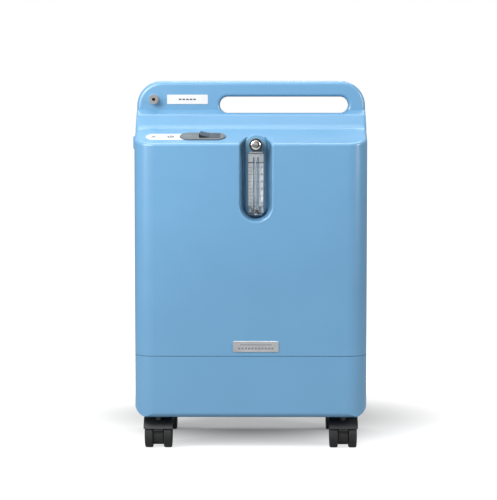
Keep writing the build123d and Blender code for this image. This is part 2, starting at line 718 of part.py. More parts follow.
def crankcases():
    cases = []
    for side in (-1, 1):
        x0, x1 = crank_x(side)
        case = block(x0, x1, -40, 40, PUMP_BASE_Z + 3, CRANK_TOP_Z)
        uprights = [e for e in case.edges() if extent(e)[1] - extent(e)[0] > 10]
        case = fillet(uprights, 10)
        case += rod_z((x0 + x1) / 2, 0, CRANK_TOP_Z - 1, HEAD_Z, 15.9)
        case += rod_z((x0 + x1) / 2, 0, CRANK_TOP_Z + 8, CRANK_TOP_Z + 10, 24)
        case += rod_z((x0 + x1) / 2, 0, CRANK_TOP_Z + 16, CRANK_TOP_Z + 18, 24)
        case -= rod_x(x0 + 4, x1 - 4, 0, PUMP_SHAFT_Z, 34.0)
        case -= rod_z((x0 + x1) / 2, 0, PUMP_SHAFT_Z, HEAD_Z + 1, 11.0)
        case -= rod_x(x0 - 1, x1 + 1, 0, PUMP_SHAFT_Z, SHAFT_R + RUN_CLEAR)
        cases.append(case)
    return Compound(children=cases)


def cylinder_heads():
    heads = []
    for side in (-1, 1):
        x0, x1 = crank_x(side)
        x = (x0 + x1) / 2
        head = block(x - 24, x + 24, -26, 26, HEAD_Z, HEAD_Z + HEAD_HIGH)
        for index in range(5):
            y = -20 + 10 * index
            head -= block(x - 25, x + 25, y - 2.5, y + 2.5, HEAD_Z + 9, HEAD_Z + HEAD_HIGH + 1)
        heads.append(head)
    return Compound(children=heads)


def motor_rotor():
    reach = STATOR_LONG / 2 + CRANK_LONG + 14
    shaft = rod_x(PUMP_X - reach, PUMP_X + reach, 0, PUMP_SHAFT_Z, SHAFT_R)
    core = rod_x(PUMP_X - 34, PUMP_X + 34, 0, PUMP_SHAFT_Z, 26.0)
    body = shaft + core
    for side in (-1, 1):
        x0, x1 = crank_x(side)
        middle = (x0 + x1) / 2
        body += rod_x(middle - 8, middle + 8, side * 5.0, PUMP_SHAFT_Z, 16.0)
    return body


def pump_fans():
    fans = []
    for side in (-1, 1):
        near = PUMP_X + side * (STATOR_LONG / 2 + CRANK_LONG + 3)
        x0, x1 = sorted((near, near + side * 10))
        fan = rod_x(x0, x1, 0, PUMP_SHAFT_Z, 12.0) + (
            rod_x(x0, x1, 0, PUMP_SHAFT_Z, FAN_R) - rod_x(x0 - 1, x1 + 1, 0, PUMP_SHAFT_Z, FAN_R - 1.6)
        )
        middle = (x0 + x1) / 2
        for index in range(8):
            blade = Pos(0, 0, FAN_R / 2 + 5) * Rot(0, 0, 38) * Box(1.4, 13, FAN_R - 12)
            fan += Pos(middle, 0, PUMP_SHAFT_Z) * Rot(45 * index, 0, 0) * blade
        fan = fan & block(x0, x1, -60, 60, PUMP_SHAFT_Z - 60, PUMP_SHAFT_Z + 60)
        fan -= rod_x(x0 - 1, x1 + 1, 0, PUMP_SHAFT_Z, SHAFT_R)
        fans.append(fan)
    return Compound(children=fans)


def motor_capacitor():
    z = CHASSIS_Z + CHASSIS_THICK + 19
    return rod_x(-10, 46, -76, z, 19.0) + block(46, 53, -82, -70, z - 7, z + 7)


def exhaust_muffler():
    z = CHASSIS_Z + CHASSIS_THICK + 19
    body = rod_x(-105, -30, -76, z, 19.0)
    body = fillet([e for f in body.faces().filter_by(GeomType.PLANE) for e in f.edges()], 4)
    return body + rod_x(-30, -18, -76, z, 6.0)


def intake_silencer():
    z0 = CHASSIS_Z + CHASSIS_THICK
    body = block(-52, 30, 64, 97, z0, z0 + 70)
    body = fillet(body.edges(), 5)
    return body + rod_z(10, 80, z0 + 69, z0 + 82, 6.0)


# ---------------------------------------------------------------- gas parts
def sieve_beds():
    beds = []
    for y in (-BED_Y, BED_Y):
        z0 = CHASSIS_Z + CHASSIS_THICK
        bed = rod_z(BED_X, y, z0, BED_TOP_Z, BED_R)
        bed += rod_z(BED_X, y, z0, z0 + 14, BED_R + 2.5)
        bed += rod_z(BED_X, y, BED_TOP_Z - 14, BED_TOP_Z, BED_R + 2.5)
        beds.append(bed)
    return Compound(children=beds)


def valve_block():
    """Manifold across the tops of both beds, with ports towards the tank."""
    body = block(BED_X - 26, BED_X + 26, -BED_Y - 16, BED_Y + 16, BED_TOP_Z, VALVE_TOP_Z)
    body = chamfer([e for e in body.edges() if extent(e)[5] - extent(e)[4] > 20], 4)
    body += rod_x(BED_X - 38, BED_X - 25, 30, BED_TOP_Z + 14, 5.0)
    body += rod_x(BED_X - 38, BED_X - 25, -30, BED_TOP_Z + 14, 5.0)
    return body


def solenoid_coils():
    coils = []
    for y in (-COIL_Y, COIL_Y):
        coil = Pos(BED_X, y, VALVE_TOP_Z + 16) * Box(30, 30, 32)
        coil = fillet([e for e in coil.edges() if extent(e)[5] - extent(e)[4] > 20], 3)
        coil -= rod_z(BED_X, y, VALVE_TOP_Z - 1, VALVE_TOP_Z + 28, 5.0 + RUN_CLEAR)
        coils.append(coil)
    return Compound(children=coils)


def solenoid_plunger(y):
    return rod_z(BED_X, y, VALVE_TOP_Z, VALVE_TOP_Z + 23.0, 5.0)


def middle_shelf():
    """Sheet that carries the cooling fan and the product tank, on four legs."""
    face = Pos(-54.5, 15) * Rectangle(221, 180) + Pos(62, 5) * Rectangle(16, 160)
    face -= Pos(FAN_X, 0) * Circle(54)
    plate = Pos(0, 0, MID_Z) * extrude(face, MID_THICK)
    for x, y in MID_LEGS:
        plate += rod_z(x, y, CHASSIS_Z + CHASSIS_THICK, MID_Z + 1, 4.5)
    return plate


def fan_frame():
    """Square frame with round duct, four struts and the motor hub."""
    z0 = MID_Z + MID_THICK
    body = Pos(FAN_X, 0, z0 + FAN_DEEP / 2) * Box(FAN_FRAME, FAN_FRAME, FAN_DEEP)
    body = fillet([e for e in body.edges() if extent(e)[5] - extent(e)[4] > 20], 6)
    body -= rod_z(FAN_X, 0, z0 - 1, z0 + FAN_DEEP + 1, 57.0)
    for index in range(4):
        arm = Rot(0, 0, 45 + 90 * index) * Pos(38, 0, 0) * Box(42, 4, 3)
        body += Pos(FAN_X, 0, z0 + 1.5) * arm
    body += rod_z(FAN_X, 0, z0, z0 + 4, 20.0)
    for x in (-1, 1):
        for y in (-1, 1):
            body -= rod_z(FAN_X + 52.5 * x, 52.5 * y, z0 - 1, z0 + FAN_DEEP + 1, 2.2)
    return body


def fan_rotor():
    z0 = MID_Z + MID_THICK + 5
    rotor = rod_z(FAN_X, 0, z0, z0 + 18, 20.0)
    rotor = fillet(rotor.faces().sort_by(Axis.Z)[-1].edges(), 2)
    for index in range(7):
        blade = Pos(37, 0, 0) * Rot(32, 0, 0) * Box(36, 1.8, 26)
        rotor += Pos(FAN_X, 0, z0 + 9) * Rot(0, 0, 360 / 7 * index) * blade
    swept = rod_z(FAN_X, 0, z0, z0 + 18, 55.0)
    return rotor & swept


def heat_exchanger():
    """Copper coil in the fan's air stream, on two clips."""
    turns = Helix(pitch=11, height=33, radius=44)
    start = Plane(origin=turns @ 0, z_dir=turns % 0)
    coil = sweep(start * Circle(3.5), path=turns)
    z0 = MID_Z + MID_THICK + FAN_DEEP
    coil = Pos(FAN_X, 0, z0 + 5) * coil
    for side in (-1, 1):
        x0, x1 = sorted((FAN_X + side * 41, FAN_X + side * 47))
        coil += block(x0, x1, -2, 2, z0, z0 + 42)
        x0, x1 = sorted((FAN_X + side * 45, FAN_X + side * 60))
        coil += block(x0, x1, -5, 5, z0, z0 + 2.5)
    return coil


def product_tank():
    z0 = MID_Z + MID_THICK
    tank = rod_z(TANK_X, TANK_Y, z0, TANK_TOP_Z, TANK_R)
    tank = fillet([e for f in tank.faces().filter_by(GeomType.PLANE) for e in f.edges()], 7)
    return tank + rod_z(TANK_X, TANK_Y, TANK_TOP_Z - 2, TANK_TOP_Z + 10, 5.0)


def pressure_regulator():
    z0 = MID_Z + MID_THICK
    body = rod_z(40, -44, z0, z0 + 34, 14.0) + rod_z(40, -44, z0 + 34, z0 + 46, 9.0)
    return body + rod_y(40, -62, -44, z0 + 12, 4.5) + rod_y(40, -44, -24, z0 + 12, 4.5)


def oxygen_sensor():
    z0 = MID_Z + MID_THICK
    return block(24, 56, -18, 6, z0, z0 + 20) + rod_x(10, 24, -6, z0 + 10, 3.5)


def product_filter():
    z0 = MID_Z + MID_THICK
    body = rod_z(38, 22, z0, z0 + 6, 5.0) + rod_z(38, 22, z0 + 6, z0 + 18, 14.0)
    return body + rod_z(38, 22, z0 + 18, z0 + 28, 3.6)


# ---------------------------------------------------------------- electrics
BOARD_Y = -101.0


def control_board():
    board = block(-162, -33, BOARD_Y, BOARD_Y + 1.6, 311, 439)
    for x in (-155.0, -40.0):
        for z in (318.0, 432.0):
            board -= rod_y(x, BOARD_Y - 1, BOARD_Y + 3, z, 1.6)
    return board


def board_parts():
    """Transformer, capacitors, relays, heat sink, chips and alarm buzzer on the board."""
    y = BOARD_Y + 1.6
    parts = [block(-155, -115, y, y + 17, 325, 360)]
    for index in range(3):
        parts.append(rod_y(-100 + 16 * index, y, y + 17, 338, 6.5))
    for index in range(2):
        parts.append(block(-58, -42, y, y + 15, 325 + 34 * index, 352 + 34 * index))
    sink = block(-150, -110, y, y + 16, 380, 400)
    for index in range(6):
        sink -= block(-147 + 6.2 * index, -144 + 6.2 * index, y + 4, y + 17, 379, 401)
    parts.append(sink)
    parts.append(block(-96, -72, y, y + 3, 380, 404))
    parts.append(block(-64, -50, y, y + 3, 398, 416))
    parts.append(block(-140, -96, y, y + 9, 418, 427))
    parts.append(rod_y(-82, y, y + 10, 366, 9.0) - rod_y(-82, y + 8, y + 11, 366, 1.6))
    return Compound(children=parts)


def power_inlet():
    """Recessed three-pin mains inlet with flange."""
    y = DEPTH / 2
    shell = block(
        INLET_X - INLET_WIDE / 2, INLET_X + INLET_WIDE / 2, y - 22, y,
        INLET_Z - INLET_HIGH / 2, INLET_Z + INLET_HIGH / 2,
    )
    flange = Pos(INLET_X, INLET_Z) * RectangleRounded(INLET_WIDE + 8, INLET_HIGH + 8, 4)
    shell += extrude_y(flange, y, y + 2)
    mouth = make_face(
        Polyline((-12, -8.5), (12, -8.5), (12, 4), (7.5, 8.5), (-7.5, 8.5), (-12, 4), close=True)
    )
    return shell - extrude_y(Pos(INLET_X, INLET_Z) * mouth, y - 16, y + 3)


def breaker_body():
    y = DEPTH / 2
    body = rod_y(BREAKER_X, y - 24, y + 2, BREAKER_Z, 6.0) + rod_y(BREAKER_X, y, y + 2, BREAKER_Z, 9.0)
    body += block(BREAKER_X - 9, BREAKER_X + 9, y - 24, y - WALL, BREAKER_Z - 9, BREAKER_Z + 9)
    return body - rod_y(BREAKER_X, y - 14, y + 3, BREAKER_Z, 4.0 + RUN_CLEAR)


def breaker_button():
    y = DEPTH / 2
    button = rod_y(BREAKER_X, y - 9, y + 5, BREAKER_Z, 4.0)
    return fillet(button.faces().sort_by(Axis.Y)[-1].edges(), 1.0)


def hour_meter():
    y = DEPTH / 2
    body = block(METER_X - 18, METER_X + 18, y - 20, y, METER_Z - 9, METER_Z + 9)
    rim = Pos(METER_X, METER_Z) * RectangleRounded(42, 24, 3)
    body += extrude_y(rim, y, y + 1.6)
    return body - block(METER_X - 15, METER_X + 15, y + 0.6, y + 3, METER_Z - 6, METER_Z + 6)


def exhaust_grille():
    y = DEPTH / 2
    rim = Pos(GRILLE_X, GRILLE_Z) * RectangleRounded(GRILLE_WIDE, GRILLE_HIGH, 5)
    plate = extrude_y(rim, y, y + 2)
    collar = block(
        GRILLE_X - GRILLE_WIDE / 2 + 4.5, GRILLE_X + GRILLE_WIDE / 2 - 4.5, y - 5, y + 1,
        GRILLE_Z - GRILLE_HIGH / 2 + 4.5, GRILLE_Z + GRILLE_HIGH / 2 - 4.5,
    )
    plate += collar
    for row in range(6):
        z = GRILLE_Z + (row - 2.5) * 8.4
        for x in (-1, 1):
            middle = GRILLE_X + x * 24.5
            plate -= block(middle - 22, middle + 22, y - 8, y + 5, z - 2.3, z + 2.3)
    return plate


# ---------------------------------------------------------------- filter
def filter_door():
    """Lift-off door over the intake filter, with slats and a finger pull."""
    y = DEPTH / 2
    face = Pos(DOOR_X, DOOR_Z) * RectangleRounded(DOOR_WIDE - 0.8, DOOR_HIGH - 0.8, 4)
    door = extrude_y(face, y - 4, y)
    for row in range(7):
        z = DOOR_Z - 26 + row * 7.6
        for x in (-1, 1):
            door -= block(DOOR_X + x * 19 - 17, DOOR_X + x * 19 + 17, y - 6, y + 3, z - 1.9, z + 1.9)
    pull = Pos(DOOR_X, DOOR_Z + 31) * SlotOverall(30, 7)
    return door - extrude_y(pull, y - 2, y + 3)


def intake_filter():
    y = DEPTH / 2
    return block(
        DOOR_X - DOOR_WIDE / 2 + 1.5, DOOR_X + DOOR_WIDE / 2 - 1.5, y - 24, y - 6,
        DOOR_Z - DOOR_HIGH / 2 + 4.2, DOOR_Z + DOOR_HIGH / 2 - 1.5,
    )


# ---------------------------------------------------------------- hoses and foam
def gas_hoses():
    """Hoses: heads to coil, tank to regulator, regulator to meter, filter to outlet."""
    mid = MID_Z + MID_THICK
    hoses = [
        hose([(TANK_X, TANK_Y, TANK_TOP_Z), (TANK_X, TANK_Y, 474), (70, TANK_Y, 474),
              (70, 0, 474), (70, -20, 440), (70, -44, 400), (70, -44, mid + 60), (40, -44, mid + 60),
              (40, -44, mid + 46)], 6.5, 5.0, 7),
        hose([(38, 22, mid + 22), (38, 22, 470), (-20, 22, 484), (-20, -2, 496), (-120, -2, 498),
              (OUTLET_X, -2, 520), (OUTLET_X, -2, OUTLET_Z), (OUTLET_X, -13, OUTLET_Z)], 5.0, 3.6, 5),
    ]
    return Compound(children=hoses)


# ---------------------------------------------------------------- build
def build():
    shell = cabinet_shell()
    nodes = {
        "front_cover": front_cover(shell),
        "rear_cover": rear_cover(shell),
        "base_tray": base_tray(shell),
        "cover_screws": cover_screws(),
        "badge_plate": badge_plate(),
        "outlet_fitting": outlet_fitting(),
        "switch_bezel": switch_bezel(),
        "switch_case": switch_case(),
        "power_switch": power_switch(),
        "flow_block": flow_block(),
        "flow_ball": flow_ball(),
        "valve_body": valve_body(),
        "valve_needle": valve_needle(),
        "flow_knob": flow_knob(),
        "chassis_plate": chassis_plate(),
        "pump_mounts": pump_mounts(),
        "pump_base": pump_base(),
        "motor_stator": motor_stator(),
        "crankcases": crankcases(),
        "cylinder_heads": cylinder_heads(),
        "motor_rotor": motor_rotor(),
        "pump_fans": pump_fans(),
        "motor_capacitor": motor_capacitor(),
        "exhaust_muffler": exhaust_muffler(),
        "intake_silencer": intake_silencer(),
        "sieve_beds": sieve_beds(),
        "valve_block": valve_block(),
        "solenoid_coils": solenoid_coils(),
        "plunger_front": solenoid_plunger(-COIL_Y),
        "plunger_rear": solenoid_plunger(COIL_Y),
        "middle_shelf": middle_shelf(),
        "fan_frame": fan_frame(),
        "fan_rotor": fan_rotor(),
        "heat_exchanger": heat_exchanger(),
        "product_tank": product_tank(),
        "pressure_regulator": pressure_regulator(),
        "oxygen_sensor": oxygen_sensor(),
        "product_filter": product_filter(),
        "control_board": control_board(),
        "board_parts": board_parts(),
        "power_inlet": power_inlet(),
        "breaker_body": breaker_body(),
        "breaker_button": breaker_button(),
        "hour_meter": hour_meter(),
        "exhaust_grille": exhaust_grille(),
        "filter_door": filter_door(),
        "intake_filter": intake_filter(),
        "gas_hoses": gas_hoses(),
    }
    for name, (x, y) in CASTERS.items():
        nodes[f"caster_{name}_hood"] = caster_hood(x, y)
        nodes[f"caster_{name}_pin"] = caster_pin(x, y)
        nodes[f"caster_{name}_wheels"] = caster_wheels(x, y)
    return nodes


os.makedirs("parts", exist_ok=True)
for node, shape in build().items():
    export_step(shape, f"parts/{node}.step")
print("OK")
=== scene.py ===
import json
from math import atan2, cos, radians, sin

import bpy
from mathutils import Matrix, Vector


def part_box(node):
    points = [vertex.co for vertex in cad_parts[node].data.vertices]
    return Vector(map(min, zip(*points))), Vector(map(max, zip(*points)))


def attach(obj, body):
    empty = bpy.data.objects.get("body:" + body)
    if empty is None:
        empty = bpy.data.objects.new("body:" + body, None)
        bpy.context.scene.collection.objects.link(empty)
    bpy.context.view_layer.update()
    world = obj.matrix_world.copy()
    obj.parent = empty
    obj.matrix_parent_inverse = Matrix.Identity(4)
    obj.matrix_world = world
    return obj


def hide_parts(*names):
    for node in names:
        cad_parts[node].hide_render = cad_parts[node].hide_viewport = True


# Finish, small fittings, studio and camera for a home oxygen concentrator.
# Metres throughout, +Z up, the front face towards -Y.

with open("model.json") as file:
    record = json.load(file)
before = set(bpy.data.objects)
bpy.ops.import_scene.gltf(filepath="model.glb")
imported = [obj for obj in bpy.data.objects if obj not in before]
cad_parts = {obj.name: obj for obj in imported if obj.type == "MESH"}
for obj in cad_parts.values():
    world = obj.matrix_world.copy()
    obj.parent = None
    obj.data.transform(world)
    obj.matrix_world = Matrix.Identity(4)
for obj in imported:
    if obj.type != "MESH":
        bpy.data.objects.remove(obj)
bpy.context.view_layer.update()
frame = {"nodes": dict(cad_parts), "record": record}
NODES = frame["nodes"]


def middle(node):
    low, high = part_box(node)
    return (low + high) / 2


# ---------------------------------------------------------------- places read from the frame
KNOB = middle("flow_knob")
KNOB_FRONT_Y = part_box("flow_knob")[0].y
METER_LOW, METER_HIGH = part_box("flow_block")
OUTLET = middle("outlet_fitting")
OUTLET_OUT = 0.012
PANEL_FRONT_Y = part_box("outlet_fitting")[0].y + OUTLET_OUT
BADGE_LOW, BADGE_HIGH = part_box("badge_plate")
BEZEL_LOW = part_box("switch_bezel")[0]
INLET = middle("power_inlet")
INLET_FLANGE_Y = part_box("power_inlet")[1].y
HOURS = middle("hour_meter")
HOURS_FACE_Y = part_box("hour_meter")[1].y
FILTER_LOW, FILTER_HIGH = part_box("intake_filter")

# ---------------------------------------------------------------- design sizes
PLATE_WIDE = 0.0655
PLATE_HIGH = 0.015
PLATE_RIGHT_OF_OUTLET = 0.0537
FRONT_FACE_Y = -0.120
SHELF_RISE = 0.023
SHELF_RUN = 0.072
SHELF_TILT = atan2(SHELF_RISE, SHELF_RUN)
SHELF_FRONT_Z = 0.485
STRIP_ALONG = 0.033
STRIP_LEFT_X = -0.1653
STRIP_HIGH = 0.028
FILM_THICK = 0.0006
ICON_X = (-0.1530, -0.1260)
BEZEL_THICK = 0.0024
BEZEL_HALF = 0.016
CARD_THICK = 0.0005
FLOOR_SEEN = 0.95
# seen glow at the middle of the painted shadow under the cabinet
FLOOR_PAINTED_SHADOW = 0.12
SKY_SEEN = 1.0
SKY_LIT = 0.50
PRINT_THICK = 0.00012
SCALE_STEPS = 5
SCALE_STEP = 0.0112
SCALE_ABOVE_BASE = 0.0185
LIMIT_ABOVE_SCALE = 0.0075


# ---------------------------------------------------------------- node helpers
def new_finish(name, colour, roughness, metallic=0.0, **sockets):
    """A material whose constants sit on the shader's own sockets."""
    material = bpy.data.materials.new(name)
    material.use_nodes = True
    material.diffuse_color = (*colour, 1.0)
    tree = material.node_tree
    shader = tree.nodes["Principled BSDF"]
    shader.inputs["Base Color"].default_value = (*colour, 1.0)
    shader.inputs["Roughness"].default_value = roughness
    shader.inputs["Metallic"].default_value = metallic
    for socket, value in sockets.items():
        shader.inputs[socket.replace("_", " ")].default_value = value
    return material, tree, shader


def object_coords(tree, stretch=(1.0, 1.0, 1.0), turn=(0.0, 0.0, 0.0)):
    """Object coordinates, stretched where a pattern runs along one way."""
    coords = tree.nodes.new("ShaderNodeTexCoord")
    mapping = tree.nodes.new("ShaderNodeMapping")
    mapping.inputs["Scale"].default_value = stretch
    mapping.inputs["Rotation"].default_value = turn
    tree.links.new(coords.outputs["Object"], mapping.inputs["Vector"])
    return mapping.outputs["Vector"]


def noise(tree, coords, scale, detail=3.0, rough=0.5):
    node = tree.nodes.new("ShaderNodeTexNoise")
    node.inputs["Scale"].default_value = scale
    node.inputs["Detail"].default_value = detail
    node.inputs["Roughness"].default_value = rough
    tree.links.new(coords, node.inputs["Vector"])
    return node.outputs["Fac"]


def cells(tree, coords, scale, feature="F1"):
    node = tree.nodes.new("ShaderNodeTexVoronoi")
    node.feature = feature
    node.inputs["Scale"].default_value = scale
    tree.links.new(coords, node.inputs["Vector"])
    return node.outputs["Distance"]


def bands(tree, coords, scale, way="X", wobble=0.0):
    node = tree.nodes.new("ShaderNodeTexWave")
    node.bands_direction = way
    node.inputs["Scale"].default_value = scale
    node.inputs["Distortion"].default_value = wobble
    tree.links.new(coords, node.inputs["Vector"])
    return node.outputs["Fac"]


def spread(tree, factor, low, high, from_low=0.3, from_high=0.7):
    """Maps a pattern's middle range to low..high."""
    node = tree.nodes.new("ShaderNodeMapRange")
    node.inputs["From Min"].default_value = from_low
    node.inputs["From Max"].default_value = from_high
    node.inputs["To Min"].default_value = low
    node.inputs["To Max"].default_value = high
    tree.links.new(factor, node.inputs["Value"])
    return node.outputs["Result"]


def tint(tree, factor, first, second, from_low=0.3, from_high=0.7):
    """A colour between two, by a pattern."""
    ramp = tree.nodes.new("ShaderNodeValToRGB")
    ramp.color_ramp.elements[0].position = from_low
    ramp.color_ramp.elements[1].position = from_high
    ramp.color_ramp.elements[0].color = (*first, 1.0)
    ramp.color_ramp.elements[1].color = (*second, 1.0)
    tree.links.new(factor, ramp.inputs["Fac"])
    return ramp.outputs["Color"]


def speckle(tree, colour, factor, shade, amount):
    """Darkens or lightens a colour a little where the pattern is high."""
    mix = tree.nodes.new("ShaderNodeMix")
    mix.data_type = "RGBA"
    mix.inputs["B"].default_value = (*shade, 1.0)
    strength = spread(tree, factor, 0.0, amount, 0.45, 0.75)
    tree.links.new(strength, mix.inputs["Factor"])
    tree.links.new(colour, mix.inputs["A"])
    return mix.outputs["Result"]


def bump(tree, height, strength, distance, under=None):
    node = tree.nodes.new("ShaderNodeBump")
    node.inputs["Strength"].default_value = strength
    node.inputs["Distance"].default_value = distance
    tree.links.new(height, node.inputs["Height"])
    if under is not None:
        tree.links.new(under, node.inputs["Normal"])
    return node.outputs["Normal"]


def wire(tree, shader, colour=None, roughness=None, normal=None):
    """Joins the patterns to the shader."""
    for socket, source in (("Base Color", colour), ("Roughness", roughness), ("Normal", normal)):
        if source is not None:
            tree.links.new(source, shader.inputs[socket])


def shaded(colour, times):
    return tuple(channel * times for channel in colour)


# ---------------------------------------------------------------- plastics
CABINET_BLUE = (0.086, 0.207, 0.338)


def cabinet_blue():
    """Satin moulded cabinet plastic: slow colour drift, flow marks and a fine spark texture."""
    material, tree, shader = new_finish("cabinet_blue", CABINET_BLUE, 0.34, Specular_IOR_Level=0.5,
                                        Coat_Weight=0.12, Coat_Roughness=0.22)
    coords = object_coords(tree)
    drift = noise(tree, coords, 5.0, 2.0)
    colour = tint(tree, drift, shaded(CABINET_BLUE, 0.965), shaded(CABINET_BLUE, 1.035))
    flecks = noise(tree, coords, 900.0, 2.0)
    colour = speckle(tree, colour, flecks, shaded(CABINET_BLUE, 1.25), 0.10)
    roughness = spread(tree, noise(tree, coords, 38.0, 4.0), 0.29, 0.38)
    waves = bump(tree, noise(tree, coords, 11.0, 1.0), 0.10, 0.0012)
    grain = bump(tree, noise(tree, coords, 1500.0, 2.0), 0.16, 0.00006, waves)
    wire(tree, shader, colour, roughness, grain)
    return material


def grained_plastic(name, colour, low, high, grain_scale, depth):
    """Matt plastic with a leather-like cell grain and a faint bloom."""
    material, tree, shader = new_finish(name, colour, (low + high) / 2, Specular_IOR_Level=0.45)
    coords = object_coords(tree)
    bloom = noise(tree, coords, 24.0, 4.0)
    base = tint(tree, bloom, shaded(colour, 0.85), shaded(colour, 1.2))
    base = speckle(tree, base, noise(tree, coords, 700.0, 2.0), shaded(colour, 1.9), 0.25)
    grain = bump(tree, cells(tree, coords, grain_scale), 0.35, depth)
    wire(tree, shader, base, spread(tree, bloom, low, high), grain)
    return material


def polished_plastic(name, colour, low, high):
    """Glossy plastic with faint swirls from wiping."""
    middling = (low + high) / 2
    material, tree, shader = new_finish(name, colour, middling, Coat_Weight=0.3, Coat_Roughness=0.08)
    coords = object_coords(tree)
    wiped = noise(tree, object_coords(tree, (60.0, 900.0, 260.0), (0.3, 0.2, 0.5)), 1.0, 3.0)
    base = tint(tree, noise(tree, coords, 30.0, 3.0), shaded(colour, 0.92), shaded(colour, 1.08))
    scratches = bump(tree, wiped, 0.05, 0.00004)
    wire(tree, shader, base, spread(tree, wiped, low, high), scratches)
    return material


def clear_acrylic():
    """Polished clear block, with a little haze on its sawn faces."""
    material, tree, shader = new_finish("clear_acrylic", (0.985, 0.995, 1.0), 0.03,
                                        Transmission_Weight=1.0, IOR=1.49)
    coords = object_coords(tree)
    haze = noise(tree, coords, 160.0, 3.0)
    ripple = bump(tree, noise(tree, coords, 70.0, 2.0), 0.04, 0.0002)
    base = tint(tree, haze, (0.975, 0.99, 0.995), (0.99, 1.0, 1.0))
    wire(tree, shader, base, spread(tree, haze, 0.015, 0.05), ripple)
    return material


def clear_lens():
    """Smoky diffuser of an unlit indicator light."""
    material, tree, shader = new_finish("clear_lens", (0.42, 0.44, 0.45), 0.15, Transmission_Weight=0.35,
                                        IOR=1.5, Coat_Weight=0.4, Coat_Roughness=0.05)
    coords = object_coords(tree)
    ribs = bump(tree, cells(tree, coords, 2600.0), 0.3, 0.0001)
    base = tint(tree, noise(tree, coords, 400.0), (0.36, 0.38, 0.39), (0.50, 0.52, 0.53))
    wire(tree, shader, base, spread(tree, noise(tree, coords, 200.0), 0.10, 0.22), ribs)
    return material


def printed_ink(name, colour):
    """Screen-printed ink: slightly uneven, satin."""
    material, tree, shader = new_finish(name, colour, 0.45)
    coords = object_coords(tree)
    body = noise(tree, coords, 1800.0, 3.0)
    base = tint(tree, body, shaded(colour, 0.8), shaded(colour, 1.3))
    wire(tree, shader, base, spread(tree, body, 0.38, 0.52), bump(tree, body, 0.15, 0.00003))
    return material


def label_film(name, level):
    """White polycarbonate film with a fine matt emboss; its level is set per place, darker as painted shade
    where the lamps are strong.
    """
    colour = (level, level * 1.01, level * 1.02)
    material, tree, shader = new_finish(name, colour, 0.42)
    coords = object_coords(tree)
    emboss = noise(tree, coords, 2200.0, 2.0)
    soil = noise(tree, coords, 60.0, 4.0)
    base = tint(tree, soil, shaded(colour, 0.96), shaded(colour, 1.04))
    wire(tree, shader, base, spread(tree, emboss, 0.36, 0.48), bump(tree, emboss, 0.2, 0.00004))
    return material


# ---------------------------------------------------------------- metals
def brushed_metal(name, colour, low, high, stretch, depth=0.00004):
    """Metal drawn or brushed one way: long fine lines in gloss and height."""
    material, tree, shader = new_finish(name, colour, (low + high) / 2, 1.0)
    lines = noise(tree, object_coords(tree, stretch), 1.0, 4.0, 0.6)
    patches = noise(tree, object_coords(tree), 45.0, 3.0)
    base = tint(tree, patches, shaded(colour, 0.90), shaded(colour, 1.06))
    base = speckle(tree, base, lines, shaded(colour, 0.72), 0.35)
    wire(tree, shader, base, spread(tree, lines, low, high), bump(tree, lines, 0.3, depth))
    return material


def polished_chrome():
    """Bright plating with fingermarks."""
    colour = (0.86, 0.865, 0.87)
    material, tree, shader = new_finish("polished_chrome", colour, 0.07, 1.0)
    coords = object_coords(tree)
    marks = noise(tree, coords, 220.0, 4.0)
    base = tint(tree, marks, shaded(colour, 0.96), colour)
    wire(tree, shader, base, spread(tree, marks, 0.04, 0.13), bump(tree, marks, 0.04, 0.00005))
    return material


def cast_aluminium():
    """Die casting: dull skin with shallow pits."""
    colour = (0.60, 0.61, 0.62)
    material, tree, shader = new_finish("cast_aluminium", colour, 0.45, 1.0)
    coords = object_coords(tree)
    skin = noise(tree, coords, 120.0, 5.0)
    pits = cells(tree, coords, 520.0)
    base = tint(tree, skin, shaded(colour, 0.82), shaded(colour, 1.1))
    wire(tree, shader, base, spread(tree, skin, 0.36, 0.56), bump(tree, pits, 0.35, 0.00012))
    return material


def zinc_plate():
    """Zinc-plated pressed steel: spangle and fine rolling lines."""
    colour = (0.56, 0.57, 0.58)
    material, tree, shader = new_finish("zinc_plate", colour, 0.32, 1.0)
    coords = object_coords(tree)
    spangle = cells(tree, coords, 150.0)
    base = tint(tree, spangle, shaded(colour, 0.85), shaded(colour, 1.12), 0.1, 0.7)
    lines = noise(tree, object_coords(tree, (30.0, 900.0, 900.0)), 1.0, 3.0)
    wire(tree, shader, base, spread(tree, spangle, 0.24, 0.42, 0.1, 0.7), bump(tree, lines, 0.2, 0.00003))
    return material


def motor_lamination():
    """Stacked motor plates under dark varnish."""
    colour = (0.13, 0.135, 0.145)
    material, tree, shader = new_finish("motor_lamination", colour, 0.42, 0.7)
    coords = object_coords(tree)
    plates = bands(tree, coords, 320.0, "X", 0.2)
    rust = noise(tree, coords, 70.0, 5.0)
    base = tint(tree, rust, shaded(colour, 0.75), (0.19, 0.16, 0.14))
    wire(tree, shader, base, spread(tree, rust, 0.34, 0.55), bump(tree, plates, 0.5, 0.0002))
    return material


def turned_brass():
    """Turned brass with fine tool rings and a slight tarnish."""
    colour = (0.72, 0.52, 0.22)
    material, tree, shader = new_finish("turned_brass", colour, 0.25, 1.0)
    coords = object_coords(tree)
    rings = bands(tree, coords, 900.0, "Y", 0.4)
    tarnish = noise(tree, coords, 90.0, 4.0)
    base = tint(tree, tarnish, shaded(colour, 0.72), shaded(colour, 1.08))
    wire(tree, shader, base, spread(tree, tarnish, 0.18, 0.36), bump(tree, rings, 0.2, 0.00004))
    return material


